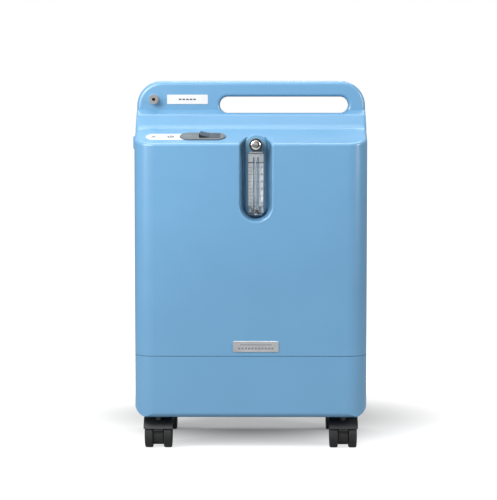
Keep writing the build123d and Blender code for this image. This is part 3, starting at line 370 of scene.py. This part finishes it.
# ---------------------------------------------------------------- rubber, foam, board
def moulded_rubber(name, colour, low, high):
    """Rubber with a dusty bloom and a coarse mould skin."""
    material, tree, shader = new_finish(name, colour, (low + high) / 2, Specular_IOR_Level=0.4)
    coords = object_coords(tree)
    dust = noise(tree, coords, 55.0, 5.0, 0.6)
    base = tint(tree, dust, shaded(colour, 0.7), shaded(colour, 1.6), 0.35, 0.75)
    skin = bump(tree, noise(tree, coords, 1100.0, 3.0), 0.4, 0.00009)
    wire(tree, shader, base, spread(tree, dust, low, high), skin)
    return material


def circuit_board():
    """Green solder mask over copper tracks."""
    green = (0.018, 0.15, 0.065)
    material, tree, shader = new_finish("circuit_board", green, 0.28)
    coords = object_coords(tree)
    tracks = cells(tree, object_coords(tree, (260.0, 260.0, 90.0)), 1.0)
    base = tint(tree, tracks, shaded(green, 1.7), green, 0.08, 0.16)
    gloss = spread(tree, noise(tree, coords, 200.0), 0.2, 0.36)
    wire(tree, shader, base, gloss, bump(tree, tracks, 0.3, 0.0001))
    return material


def open_foam():
    """Grey reticulated foam: pale struts, with painted shade darkening the open cells between them."""
    grey = (0.10, 0.10, 0.105)
    material, tree, shader = new_finish("open_foam", grey, 0.95, Sheen_Weight=0.2)
    coords = object_coords(tree)
    pores = cells(tree, coords, 850.0, "DISTANCE_TO_EDGE")
    # painted shade: the colour darkens from the struts into the open cells
    base = tint(tree, pores, (0.17, 0.17, 0.175), (0.03, 0.03, 0.03), 0.02, 0.25)
    wire(tree, shader, base, spread(tree, pores, 0.98, 0.85), bump(tree, pores, 0.9, 0.0006))
    return material


def silicone_hose():
    """Milky silicone tube, slightly see-through."""
    colour = (0.66, 0.69, 0.66)
    material, tree, shader = new_finish("silicone_hose", colour, 0.4, Transmission_Weight=0.25, IOR=1.41)
    coords = object_coords(tree)
    milk = noise(tree, coords, 80.0, 4.0)
    base = tint(tree, milk, shaded(colour, 0.88), shaded(colour, 1.05))
    wire(tree, shader, base, spread(tree, milk, 0.32, 0.5), bump(tree, milk, 0.15, 0.0002))
    return material


FINISHES = {
    "blue_plastic": cabinet_blue(),
    "black_plastic": grained_plastic("black_grained", (0.010, 0.010, 0.011), 0.48, 0.62, 1100.0, 0.00008),
    "dark_plastic": polished_plastic("dark_polished", (0.010, 0.010, 0.011), 0.34, 0.48),
    "grey_plastic": grained_plastic("grey_grained", (0.062, 0.072, 0.080), 0.50, 0.64, 1300.0, 0.00007),
    "white_plastic": polished_plastic("white_polished", (0.74, 0.75, 0.75), 0.25, 0.40),
    "silver_plate": brushed_metal("silver_brushed", (0.56, 0.565, 0.575), 0.30, 0.46, (14.0, 1600.0, 1600.0)),
    "chrome_fitting": polished_chrome(),
    "clear_acrylic": clear_acrylic(),
    "steel": zinc_plate(),
    "aluminium_cast": cast_aluminium(),
    "motor_steel": motor_lamination(),
    "copper": brushed_metal("drawn_copper", (0.80, 0.42, 0.27), 0.22, 0.40, (20.0, 700.0, 700.0)),
    "brass_turned": turned_brass(),
    "rubber_black": moulded_rubber("black_rubber", (0.020, 0.020, 0.021), 0.55, 0.75),
    "tyre_black": moulded_rubber("tyre_rubber", (0.009, 0.009, 0.010), 0.45, 0.66),
    "board_green": circuit_board(),
    "filter_felt": open_foam(),
    "hose_clear": silicone_hose(),
}
# label_white_painted_shade is the white film darkened to 0.44: painted shade that offsets the strong lamps on
# the shelf and panel; card_white is the same film at 0.86
LABEL_WHITE_PAINTED_SHADE = label_film("label_white_painted_shade", 0.44)
CARD_WHITE = label_film("card_white", 0.86)
DARK_STEEL = brushed_metal("dark_steel", (0.05, 0.05, 0.052), 0.35, 0.5, (600.0, 600.0, 20.0))
CLEAR_LENS = clear_lens()
INK_BLACK = printed_ink("ink_black", (0.018, 0.018, 0.020))
INK_GREY = printed_ink("ink_grey", (0.11, 0.115, 0.12))
INK_BLUE = printed_ink("ink_blue", (0.06, 0.20, 0.38))


def dress_nodes():
    """Each CAD node takes the finish of its slot; the pins take dark steel instead."""
    for part in frame["record"]["subparts"]:
        node = NODES[part["node"]]
        finish = DARK_STEEL if part["node"].endswith("_pin") else FINISHES[part["material_slot"]]
        node.data.materials.clear()
        node.data.materials.append(finish)


# ---------------------------------------------------------------- modelling helpers
def start_piece(name):
    """Takes the primitive just added as a piece, its size applied."""
    piece = bpy.context.active_object
    piece.name = name
    piece.data.name = name
    bpy.ops.object.transform_apply(location=True, rotation=True, scale=True)
    return piece


def clear_selection():
    bpy.ops.object.select_all(action="DESELECT")


def make_active(piece):
    clear_selection()
    piece.select_set(True)
    bpy.context.view_layer.objects.active = piece


def select_edges(piece, wanted):
    """Into edit mode with just the edges selected whose two ends pass the test."""
    make_active(piece)
    bpy.ops.object.mode_set(mode="EDIT")
    bpy.ops.mesh.select_mode(type="EDGE")
    bpy.ops.mesh.select_all(action="DESELECT")
    bpy.ops.object.mode_set(mode="OBJECT")
    points = piece.data.vertices
    for edge in piece.data.edges:
        first, second = (points[index].co for index in edge.vertices)
        edge.select = wanted(first, second)
    bpy.ops.object.mode_set(mode="EDIT")


def select_faces(piece, wanted):
    """Into edit mode with just the faces selected whose middle and normal pass the test."""
    make_active(piece)
    bpy.ops.object.mode_set(mode="EDIT")
    bpy.ops.mesh.select_mode(type="FACE")
    bpy.ops.mesh.select_all(action="DESELECT")
    bpy.ops.object.mode_set(mode="OBJECT")
    for face in piece.data.polygons:
        face.select = wanted(face.center, face.normal)
    bpy.ops.object.mode_set(mode="EDIT")


def leave_edit():
    bpy.ops.object.mode_set(mode="OBJECT")


def apply_modifier(piece, kind, name, **settings):
    make_active(piece)
    modifier = piece.modifiers.new(name, kind)
    for setting, value in settings.items():
        setattr(modifier, setting, value)
    bpy.ops.object.modifier_apply(modifier=modifier.name)


def smooth(piece, degrees=35.0):
    make_active(piece)
    bpy.ops.object.shade_smooth_by_angle(angle=radians(degrees))


def rounded_plate(name, wide, high, thick, corner, rim):
    """A plate lying on z = 0, middle at the origin, with round corners and a broken front rim."""
    clear_selection()
    bpy.ops.mesh.primitive_cube_add(size=1.0, location=(0, 0, thick / 2), scale=(wide, high, thick))
    piece = start_piece(name)
    select_edges(piece, lambda a, b: abs(a.z - b.z) > thick / 2)
    bpy.ops.mesh.bevel(offset=corner, segments=10, affect="EDGES", clamp_overlap=True)
    leave_edit()
    select_faces(piece, lambda centre, normal: normal.z > 0.9)
    bpy.ops.mesh.inset(thickness=rim, depth=0.0)
    leave_edit()
    for point in piece.data.vertices:
        outside = point.co.z > thick / 2 and is_on_rim(piece, point)
        if outside:
            point.co.z = thick - rim
    smooth(piece)
    return piece


def is_on_rim(piece, point):
    """True for a top point that also belongs to the side wall."""
    return any(point.index in face.vertices and abs(face.normal.z) < 0.5 for face in piece.data.polygons)


def disc(name, radius, thick, rim, sides=48):
    """A disc lying on z = 0 with a broken front rim."""
    clear_selection()
    bpy.ops.mesh.primitive_cylinder_add(
        vertices=sides, radius=radius, depth=thick, location=(0, 0, thick / 2))
    piece = start_piece(name)
    select_edges(piece, lambda a, b: a.z > thick * 0.9 and b.z > thick * 0.9)
    bpy.ops.mesh.bevel(offset=rim, segments=3, affect="EDGES")
    leave_edit()
    smooth(piece)
    return piece


def move_to(piece, matrix):
    """Puts a piece modelled at the origin in its place, in its mesh."""
    make_active(piece)
    piece.matrix_world = matrix
    bpy.ops.object.transform_apply(location=True, rotation=True, scale=True)
    return piece


def join(name, pieces):
    clear_selection()
    for piece in pieces:
        piece.select_set(True)
    bpy.context.view_layer.objects.active = pieces[0]
    if len(pieces) > 1:
        bpy.ops.object.join()
    piece = bpy.context.active_object
    piece.name = name
    piece.data.name = name
    return piece


def cut(piece, tool):
    """Takes the tool's shape out of the piece."""
    apply_modifier(piece, "BOOLEAN", "cut", object=tool, operation="DIFFERENCE", solver="EXACT")
    bpy.data.objects.remove(tool)


def finish_piece(piece, material, body):
    piece.data.materials.clear()
    piece.data.materials.append(material)
    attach(piece, body)
    return piece


FACE_FRONT = Matrix.Rotation(radians(90), 4, "X")
FACE_BACK = Matrix.Rotation(radians(180), 4, "Z") @ FACE_FRONT


def on_front(x, y, z):
    """Plate coordinates stood up at a place, facing the viewer of the front."""
    return Matrix.Translation((x, y, z)) @ FACE_FRONT


def on_back(x, y, z):
    return Matrix.Translation((x, y, z)) @ FACE_BACK


def on_shelf(x, along=STRIP_ALONG, lift=0.0):
    """Plate coordinates laid on the sloping control shelf."""
    y = FRONT_FACE_Y + along * cos(SHELF_TILT) - lift * sin(SHELF_TILT)
    z = SHELF_FRONT_Z + along * sin(SHELF_TILT) + lift * cos(SHELF_TILT)
    return Matrix.Translation((x, y, z)) @ Matrix.Rotation(SHELF_TILT, 4, "X")


def digits(name, text, size, thick):
    """Plain numbers as a thin solid, middle at the origin."""
    clear_selection()
    bpy.ops.object.text_add()
    words = bpy.context.active_object
    words.data.body = text
    words.data.size = size
    words.data.extrude = thick / 2
    words.data.align_x = "CENTER"
    words.data.align_y = "CENTER"
    words.data.resolution_u = 3
    bpy.ops.object.convert(target="MESH")
    piece = start_piece(name)
    bpy.ops.object.mode_set(mode="EDIT")
    bpy.ops.mesh.select_all(action="SELECT")
    bpy.ops.mesh.remove_doubles(threshold=1e-6)
    bpy.ops.mesh.normals_make_consistent(inside=False)
    leave_edit()
    return piece


# ---------------------------------------------------------------- handle panel
def name_plate():
    """Blank white plate beside the outlet, with a plain printed dash row."""
    x, z = OUTLET.x + PLATE_RIGHT_OF_OUTLET, OUTLET.z
    plate = rounded_plate("name_plate", PLATE_WIDE, PLATE_HIGH, FILM_THICK, 0.0012, 0.00015)
    move_to(plate, on_front(x, PANEL_FRONT_Y, z))
    finish_piece(plate, LABEL_WHITE_PAINTED_SHADE, "cabinet")
    dashes = []
    for index in range(5):
        dash = rounded_plate("plate_dash", 0.0042, 0.0022, PRINT_THICK, 0.0006, 0.00003)
        place = on_front(x + (index - 2) * 0.0058, PANEL_FRONT_Y - FILM_THICK + 0.00004, z)
        dashes.append(move_to(dash, place))
    finish_piece(join("plate_dashes", dashes), INK_BLACK, "cabinet")


# ---------------------------------------------------------------- control strip
def control_label():
    """White film left of the bezel, hollowed round its end."""
    left, right = STRIP_LEFT_X, BEZEL_LOW.x + BEZEL_HALF - 0.001
    end = STRIP_HIGH / 2 - 0.0005
    film = rounded_plate("control_label", right - left, STRIP_HIGH, FILM_THICK, end, 0.00015)
    clear_selection()
    bpy.ops.mesh.primitive_cylinder_add(vertices=96, radius=BEZEL_HALF + 0.0003, depth=0.01)
    tool = start_piece("label_cutter")
    tool.location = (BEZEL_LOW.x + BEZEL_HALF - (left + right) / 2, 0, 0)
    bpy.context.view_layer.update()
    cut(film, tool)
    move_to(film, on_shelf((left + right) / 2))
    smooth(film, 30.0)
    finish_piece(film, LABEL_WHITE_PAINTED_SHADE, "cabinet")


def alert_icons():
    """Two dark printed signs: a triangle in a frame and a ring round a dot."""
    lift = FILM_THICK - PRINT_THICK / 3
    clear_selection()
    bpy.ops.mesh.primitive_cylinder_add(vertices=3, radius=0.0058, depth=PRINT_THICK)
    triangle = start_piece("alert_triangle")
    select_faces(triangle, lambda centre, normal: abs(normal.z) > 0.9)
    bpy.ops.mesh.inset(thickness=0.0019, depth=0.0)
    bpy.ops.mesh.bridge_edge_loops()
    leave_edit()
    move_to(triangle, on_shelf(ICON_X[0], STRIP_ALONG - 0.0012, lift + PRINT_THICK / 2))
    pieces = [triangle]
    ring = flat_ring("alert_ring", 0.0056, 0.0032)
    pieces.append(move_to(ring, on_shelf(ICON_X[1], STRIP_ALONG, lift)))
    dot = disc("alert_dot", 0.0017, PRINT_THICK, 0.00003, 24)
    pieces.append(move_to(dot, on_shelf(ICON_X[1], STRIP_ALONG, lift)))
    finish_piece(join("alert_icons", pieces), INK_BLACK, "cabinet")


def flat_ring(name, outer, inner):
    """A printed ring lying on z = 0."""
    clear_selection()
    bpy.ops.mesh.primitive_cylinder_add(
        vertices=40, radius=outer, depth=PRINT_THICK, location=(0, 0, PRINT_THICK / 2))
    piece = start_piece(name)
    select_faces(piece, lambda centre, normal: abs(normal.z) > 0.9)
    bpy.ops.mesh.inset(thickness=outer - inner, depth=0.0)
    bpy.ops.mesh.bridge_edge_loops()
    leave_edit()
    return piece


def power_sign():
    """Pale ring and bar printed on the bezel left of the rocker."""
    x = BEZEL_LOW.x + 0.013
    lift = BEZEL_THICK - PRINT_THICK / 3
    ring = move_to(flat_ring("power_ring", 0.0044, 0.0034), on_shelf(x, STRIP_ALONG, lift))
    bar = rounded_plate("power_bar", 0.0009, 0.0040, PRINT_THICK, 0.0003, 0.00003)
    move_to(bar, on_shelf(x, STRIP_ALONG, lift))
    finish_piece(join("power_sign", [ring, bar]), INK_GREY, "cabinet")


def indicator_lights():
    """Three small unlit lenses in the label's far edge."""
    for index, x in enumerate((ICON_X[0], sum(ICON_X) / 2, ICON_X[1])):
        clear_selection()
        bpy.ops.mesh.primitive_uv_sphere_add(segments=32, ring_count=16, radius=0.0016, scale=(1, 1, 0.55))
        lens = start_piece(f"indicator_lens_{index + 1}")
        bpy.ops.object.mode_set(mode="EDIT")
        bpy.ops.mesh.select_all(action="SELECT")
        bpy.ops.mesh.bisect(plane_co=(0, 0, 0), plane_no=(0, 0, 1), clear_inner=True, use_fill=True)
        leave_edit()
        smooth(lens)
        move_to(lens, on_shelf(x, STRIP_ALONG + 0.0085, FILM_THICK))
        finish_piece(lens, CLEAR_LENS, "cabinet")


# ---------------------------------------------------------------- flow meter
def flow_card():
    """White card behind the clear block, with a printed scale."""
    wide, high = 0.0205, METER_HIGH.z - METER_LOW.z - 0.006
    x = (METER_LOW.x + METER_HIGH.x) / 2
    z = (METER_LOW.z + METER_HIGH.z) / 2
    back = METER_HIGH.y + 0.0006
    card = rounded_plate("flow_card", wide, high, CARD_THICK, 0.001, 0.0001)
    move_to(card, on_front(x, back, z))
    finish_piece(card, CARD_WHITE, "cabinet")
    return x, back - CARD_THICK


def scale_line(name, x, face, z, wide, high):
    bar = rounded_plate(name, wide, high, PRINT_THICK / 2, high * 0.3, 0.00002)
    return move_to(bar, on_front(x, face + PRINT_THICK / 4, z))


def flow_scale(x, face):
    """Ticks both sides of the tube, numbers on the right and one heavy line at the limit."""
    low, step = METER_LOW.z + SCALE_ABOVE_BASE, SCALE_STEP
    left_ticks = []
    right_ticks = []
    numbers = []
    for index in range(SCALE_STEPS * 2 + 1):
        z = low + index * step / 2
        whole = index % 2 == 0
        long = 0.0042 if whole else 0.0026
        short = 0.0024 if whole else 0.0015
        right_x = x + 0.0046 - (0.0042 - long) / 2
        left_ticks.append(scale_line("left_tick", x - 0.0078, face, z, short, 0.0008))
        right_ticks.append(scale_line("right_tick", right_x, face, z, long, 0.0007))
        if whole:
            number = digits("number", str(index // 2), 0.0052, PRINT_THICK / 2)
            numbers.append(move_to(number, on_front(x + 0.0089, face, z)))
    limit_z = low + SCALE_STEPS * step + LIMIT_ABOVE_SCALE
    limit = [
        scale_line("limit_left", x - 0.0074, face, limit_z, 0.0062, 0.0016),
        scale_line("limit_right", x + 0.0052, face, limit_z, 0.0098, 0.0016),
    ]
    finish_piece(join("scale_left", left_ticks), INK_BLACK, "cabinet")
    finish_piece(join("scale_right", right_ticks), INK_BLUE, "cabinet")
    finish_piece(join("scale_numbers", numbers), INK_BLACK, "cabinet")
    finish_piece(join("scale_limit", limit), INK_BLACK, "cabinet")


def turned_fitting(name, outline, sides=40):
    """A solid of revolution about z from (radius, height) points, closed at both ends."""
    clear_selection()
    bpy.ops.mesh.primitive_circle_add(
        vertices=sides, radius=outline[0][0], location=(0, 0, outline[0][1]), fill_type="NGON")
    piece = start_piece(name)
    bpy.ops.object.mode_set(mode="EDIT")
    bpy.ops.mesh.select_all(action="SELECT")
    radius, height = outline[0]
    for next_radius, next_height in outline[1:]:
        bpy.ops.mesh.extrude_region_move(TRANSFORM_OT_translate={"value": (0, 0, next_height - height)})
        share = next_radius / radius
        bpy.ops.transform.resize(value=(share, share, 1.0), center_override=(0, 0, 0))
        radius, height = next_radius, next_height
    bpy.ops.mesh.select_all(action="SELECT")
    bpy.ops.mesh.normals_make_consistent(inside=False)
    leave_edit()
    smooth(piece, 40.0)
    return piece


def meter_fittings(x):
    """Metal inserts moulded in the lower end of the clear block, and the seat under the ball."""
    y = METER_HIGH.y - 0.0069
    low = METER_LOW.z
    insert = [(0.0022, 0.0), (0.0030, 0.0006), (0.0030, 0.0024), (0.0023, 0.0030), (0.0023, 0.0042),
              (0.0030, 0.0048), (0.0030, 0.0078), (0.0017, 0.0086), (0.0017, 0.0116)]
    for side, offset in (("left", -0.0082), ("right", 0.0082)):
        piece = turned_fitting(f"meter_insert_{side}", insert)
        move_to(piece, Matrix.Translation((x + offset, y, low + 0.0030)))
        finish_piece(piece, FINISHES["chrome_fitting"], "cabinet")
    seat = [(0.0030, 0.0), (0.0030, 0.0024), (0.0041, 0.0030), (0.0041, 0.0052), (0.0032, 0.0056),
            (0.0032, 0.0072), (0.0041, 0.0076), (0.0041, 0.0104), (0.0024, 0.0110)]
    piece = turned_fitting("meter_seat", seat)
    move_to(piece, Matrix.Translation((x, y, low + 0.0002)))
    finish_piece(piece, FINISHES["steel"], "cabinet")
    rings = []
    for height in (0.0036, 0.0064):
        clear_selection()
        bpy.ops.mesh.primitive_torus_add(
            major_radius=0.0038, minor_radius=0.0008, major_segments=40, minor_segments=12,
            location=(x, y, low + height))
        rings.append(start_piece("seat_ring"))
    finish_piece(join("seat_rings", rings), FINISHES["rubber_black"], "cabinet")


def knob_cap():
    """Bright cap pressed in the knob's face, with a dark crescent inlay as painted shade on its face."""
    seat_y = KNOB_FRONT_Y + 0.0015
    profile = [(0.0064, 0.0), (0.0073, 0.0004), (0.0073, 0.0013), (0.0070, 0.0017), (0.0064, 0.0019),
               (0.0055, 0.00215), (0.0038, 0.0023), (0.0019, 0.0024), (0.0004, 0.00242)]
    cap = turned_fitting("knob_cap", profile, 64)
    move_to(cap, on_front(KNOB.x, seat_y, KNOB.z))
    finish_piece(cap, FINISHES["chrome_fitting"], "knob")
    clear_selection()
    # painted shade: a thin dark crescent inlay stands for the shade seen in the cap's face
    bpy.ops.mesh.primitive_cylinder_add(vertices=64, radius=0.0050, depth=0.0004)
    painted_crescent = start_piece("knob_painted_crescent")
    bpy.ops.mesh.primitive_cylinder_add(vertices=64, radius=0.0047, depth=0.002, location=(-0.0019, 0, 0))
    tool = start_piece("painted_crescent_cutter")
    cut(painted_crescent, tool)
    move_to(painted_crescent, on_front(KNOB.x + 0.0006, seat_y - 0.0022, KNOB.z))
    finish_piece(painted_crescent, FINISHES["dark_plastic"], "knob")


# ---------------------------------------------------------------- badge
def badge_marks():
    """A plain line over a row of even dashes on the silver badge."""
    centre = (BADGE_LOW + BADGE_HIGH) / 2
    face = BADGE_LOW.y
    line = rounded_plate("badge_line", 0.050, 0.0011, PRINT_THICK, 0.0003, 0.00003)
    marks = [move_to(line, on_front(centre.x, face + PRINT_THICK / 3, centre.z + 0.0030))]
    for index in range(11):
        dash = rounded_plate("badge_dash", 0.0034, 0.0026, PRINT_THICK, 0.0004, 0.00003)
        place = on_front(centre.x + (index - 5) * 0.0052, face + PRINT_THICK / 3, centre.z - 0.0028)
        marks.append(move_to(dash, place))
    finish_piece(join("badge_marks", marks), INK_GREY, "cabinet")


# ---------------------------------------------------------------- rear fittings
def inlet_pins():
    """Three flat contact pins in the mains inlet."""
    long, wide, high = 0.015, 0.0020, 0.0040
    for name, across, up in (("left", -0.007, -0.002), ("earth", 0.0, 0.002), ("right", 0.007, -0.002)):
        clear_selection()
        bpy.ops.mesh.primitive_cube_add(
            size=1.0, location=(INLET.x + across, INLET_FLANGE_Y - 0.0205 + long / 2, INLET.z + up),
            scale=(wide, long, high))
        pin = start_piece(f"inlet_pin_{name}")
        tip = INLET_FLANGE_Y - 0.0205 + long
        select_faces(pin, lambda centre, normal: normal.y > 0.9)
        bpy.ops.mesh.extrude_region_move(TRANSFORM_OT_translate={"value": (0, 0.0008, 0)})
        tip_middle = (INLET.x + across, tip, INLET.z + up)
        bpy.ops.transform.resize(value=(0.5, 1.0, 0.75), center_override=tip_middle)
        leave_edit()
        apply_modifier(pin, "BEVEL", "edges", width=0.00025, segments=2, limit_method="ANGLE")
        smooth(pin)
        finish_piece(pin, FINISHES["brass_turned"], "cabinet")


def hour_counter():
    """Number drums and a clear window in the hour meter."""
    sunk = HOURS_FACE_Y - 0.0010
    drums = []
    numbers = []
    for index in range(5):
        x = HOURS.x + (index - 2) * 0.0052
        drum = rounded_plate("hour_drum", 0.0046, 0.0090, 0.0004, 0.0004, 0.0001)
        drums.append(move_to(drum, on_back(x, sunk, HOURS.z)))
        number = digits("hour_number", "0", 0.0068, PRINT_THICK)
        numbers.append(move_to(number, on_back(x, sunk + 0.00044, HOURS.z)))
    finish_piece(join("hour_drums", drums), FINISHES["black_plastic"], "cabinet")
    finish_piece(join("hour_numbers", numbers), LABEL_WHITE_PAINTED_SHADE, "cabinet")


def foam_filter():
    """Foam pad behind the intake door, standing for its plain solid."""
    size = FILTER_HIGH - FILTER_LOW
    clear_selection()
    bpy.ops.mesh.primitive_cube_add(size=1.0, location=(FILTER_LOW + FILTER_HIGH) / 2, scale=size * 0.985)
    pad = start_piece("foam_filter")
    apply_modifier(pad, "BEVEL", "edges", width=0.0018, segments=3)
    apply_modifier(pad, "REMESH", "even", mode="VOXEL", voxel_size=0.0016)
    pores = bpy.data.textures.new("foam_pores", type="CLOUDS")
    pores.noise_scale = 0.0035
    apply_modifier(pad, "DISPLACE", "pores", texture=pores, strength=0.0011, mid_level=0.62,
                   texture_coords="LOCAL")
    smooth(pad, 60.0)
    finish_piece(pad, FINISHES["filter_felt"], "filter")
    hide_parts("intake_filter")


# ---------------------------------------------------------------- studio
def seen_only(tree, seen, lit):
    """A strength that differs between what the viewer sees and what lights the object."""
    path = tree.nodes.new("ShaderNodeLightPath")
    return spread(tree, path.outputs["Is Camera Ray"], lit, seen, 0.0, 1.0)


def floor():
    """Pale paper floor: its own glow is seen but lights nothing, and fades to a painted shadow under the
    cabinet.
    """
    clear_selection()
    bpy.ops.mesh.primitive_plane_add(size=90.0, location=(0, 0, 0))
    ground = start_piece("studio_floor")
    material, tree, shader = new_finish("studio_paper", (0.40, 0.40, 0.40), 0.85, Specular_IOR_Level=0.1)
    coords = object_coords(tree)
    wire(tree, shader, tint(tree, noise(tree, coords, 300.0, 2.0), (0.39, 0.39, 0.39), (0.41, 0.41, 0.41)))
    # painted shadow: a soft dark patch in the seen glow, centred under the cabinet
    painted_shadow = tree.nodes.new("ShaderNodeTexGradient")
    painted_shadow.gradient_type = "SPHERICAL"
    offset = tree.nodes.new("ShaderNodeMapping")
    offset.inputs["Location"].default_value = (0.0, -0.62, 0.0)
    offset.inputs["Scale"].default_value = (2.0, 2.6, 1.0)
    tree.links.new(coords, offset.inputs["Vector"])
    tree.links.new(offset.outputs["Vector"], painted_shadow.inputs["Vector"])
    glow = spread(tree, painted_shadow.outputs["Fac"], FLOOR_SEEN, FLOOR_PAINTED_SHADOW, 0.0, 0.6)
    strength = tree.nodes.new("ShaderNodeMath")
    strength.operation = "MULTIPLY"
    tree.links.new(glow, strength.inputs[0])
    tree.links.new(seen_only(tree, 1.0, 0.0), strength.inputs[1])
    shader.inputs["Emission Color"].default_value = (1.0, 1.0, 1.0, 1.0)
    tree.links.new(strength.outputs["Value"], shader.inputs["Emission Strength"])
    ground.data.materials.append(material)


def area_light(name, place, target, size, power, colour=(1.0, 1.0, 1.0)):
    bpy.ops.object.light_add(type="AREA", location=place)
    lamp = bpy.context.active_object
    lamp.name = name
    lamp.data.shape = "RECTANGLE"
    lamp.data.size, lamp.data.size_y = size
    lamp.data.energy = power
    lamp.data.color = colour
    lamp.rotation_euler = (Vector(target) - Vector(place)).to_track_quat("-Z", "Y").to_euler()


def studio():
    floor()
    world = bpy.data.worlds.new("studio_white")
    bpy.context.scene.world = world
    world.use_nodes = True
    backdrop = world.node_tree.nodes["Background"]
    backdrop.inputs["Color"].default_value = (1.0, 1.0, 1.0, 1.0)
    world.node_tree.links.new(seen_only(world.node_tree, SKY_SEEN, SKY_LIT), backdrop.inputs["Strength"])
    area_light("key_light", (-0.70, -1.05, 1.20), (0, -0.10, 0.54), (0.8, 0.6), 27.5)
    area_light("top_light", (-0.1, -0.25, 1.55), (0, -0.08, 0.52), (1.0, 0.5), 6.0)
    area_light("back_light", (0.1, 0.50, 1.75), (0, -0.08, 0.50), (1.4, 0.6), 15.0)
    area_light("left_light", (-1.7, -1.3, 1.00), (0, -0.10, 0.50), (0.4, 0.8), 23.0)
    area_light("right_light", (1.5, -0.8, 0.95), (0.05, -0.10, 0.50), (0.4, 0.9), 18.0)
    bpy.context.scene.view_settings.view_transform = "Standard"


def camera():
    """A long lens a little above the handle's level, just right of the middle."""
    distance, height = 3.12, 0.539
    aim_z, aim_x = 0.319, -0.0034
    turn = radians(0.4)
    place = Vector((aim_x + distance * sin(turn), -distance * cos(turn), height))
    target = Vector((aim_x, FRONT_FACE_Y, aim_z))
    bpy.ops.object.camera_add(location=place)
    view = bpy.context.active_object
    view.name = "front_camera"
    view.data.lens = 138.4
    view.data.sensor_width = 36.0
    view.rotation_euler = (target - place).to_track_quat("-Z", "Y").to_euler()
    bpy.context.scene.camera = view


# ---------------------------------------------------------------- making
clear_selection()
camera()
dress_nodes()
name_plate()
control_label()
alert_icons()
power_sign()
indicator_lights()
meter_x, card_face = flow_card()
flow_scale(meter_x, card_face)
meter_fittings(meter_x)
knob_cap()
badge_marks()
inlet_pins()
hour_counter()
foam_filter()
studio()
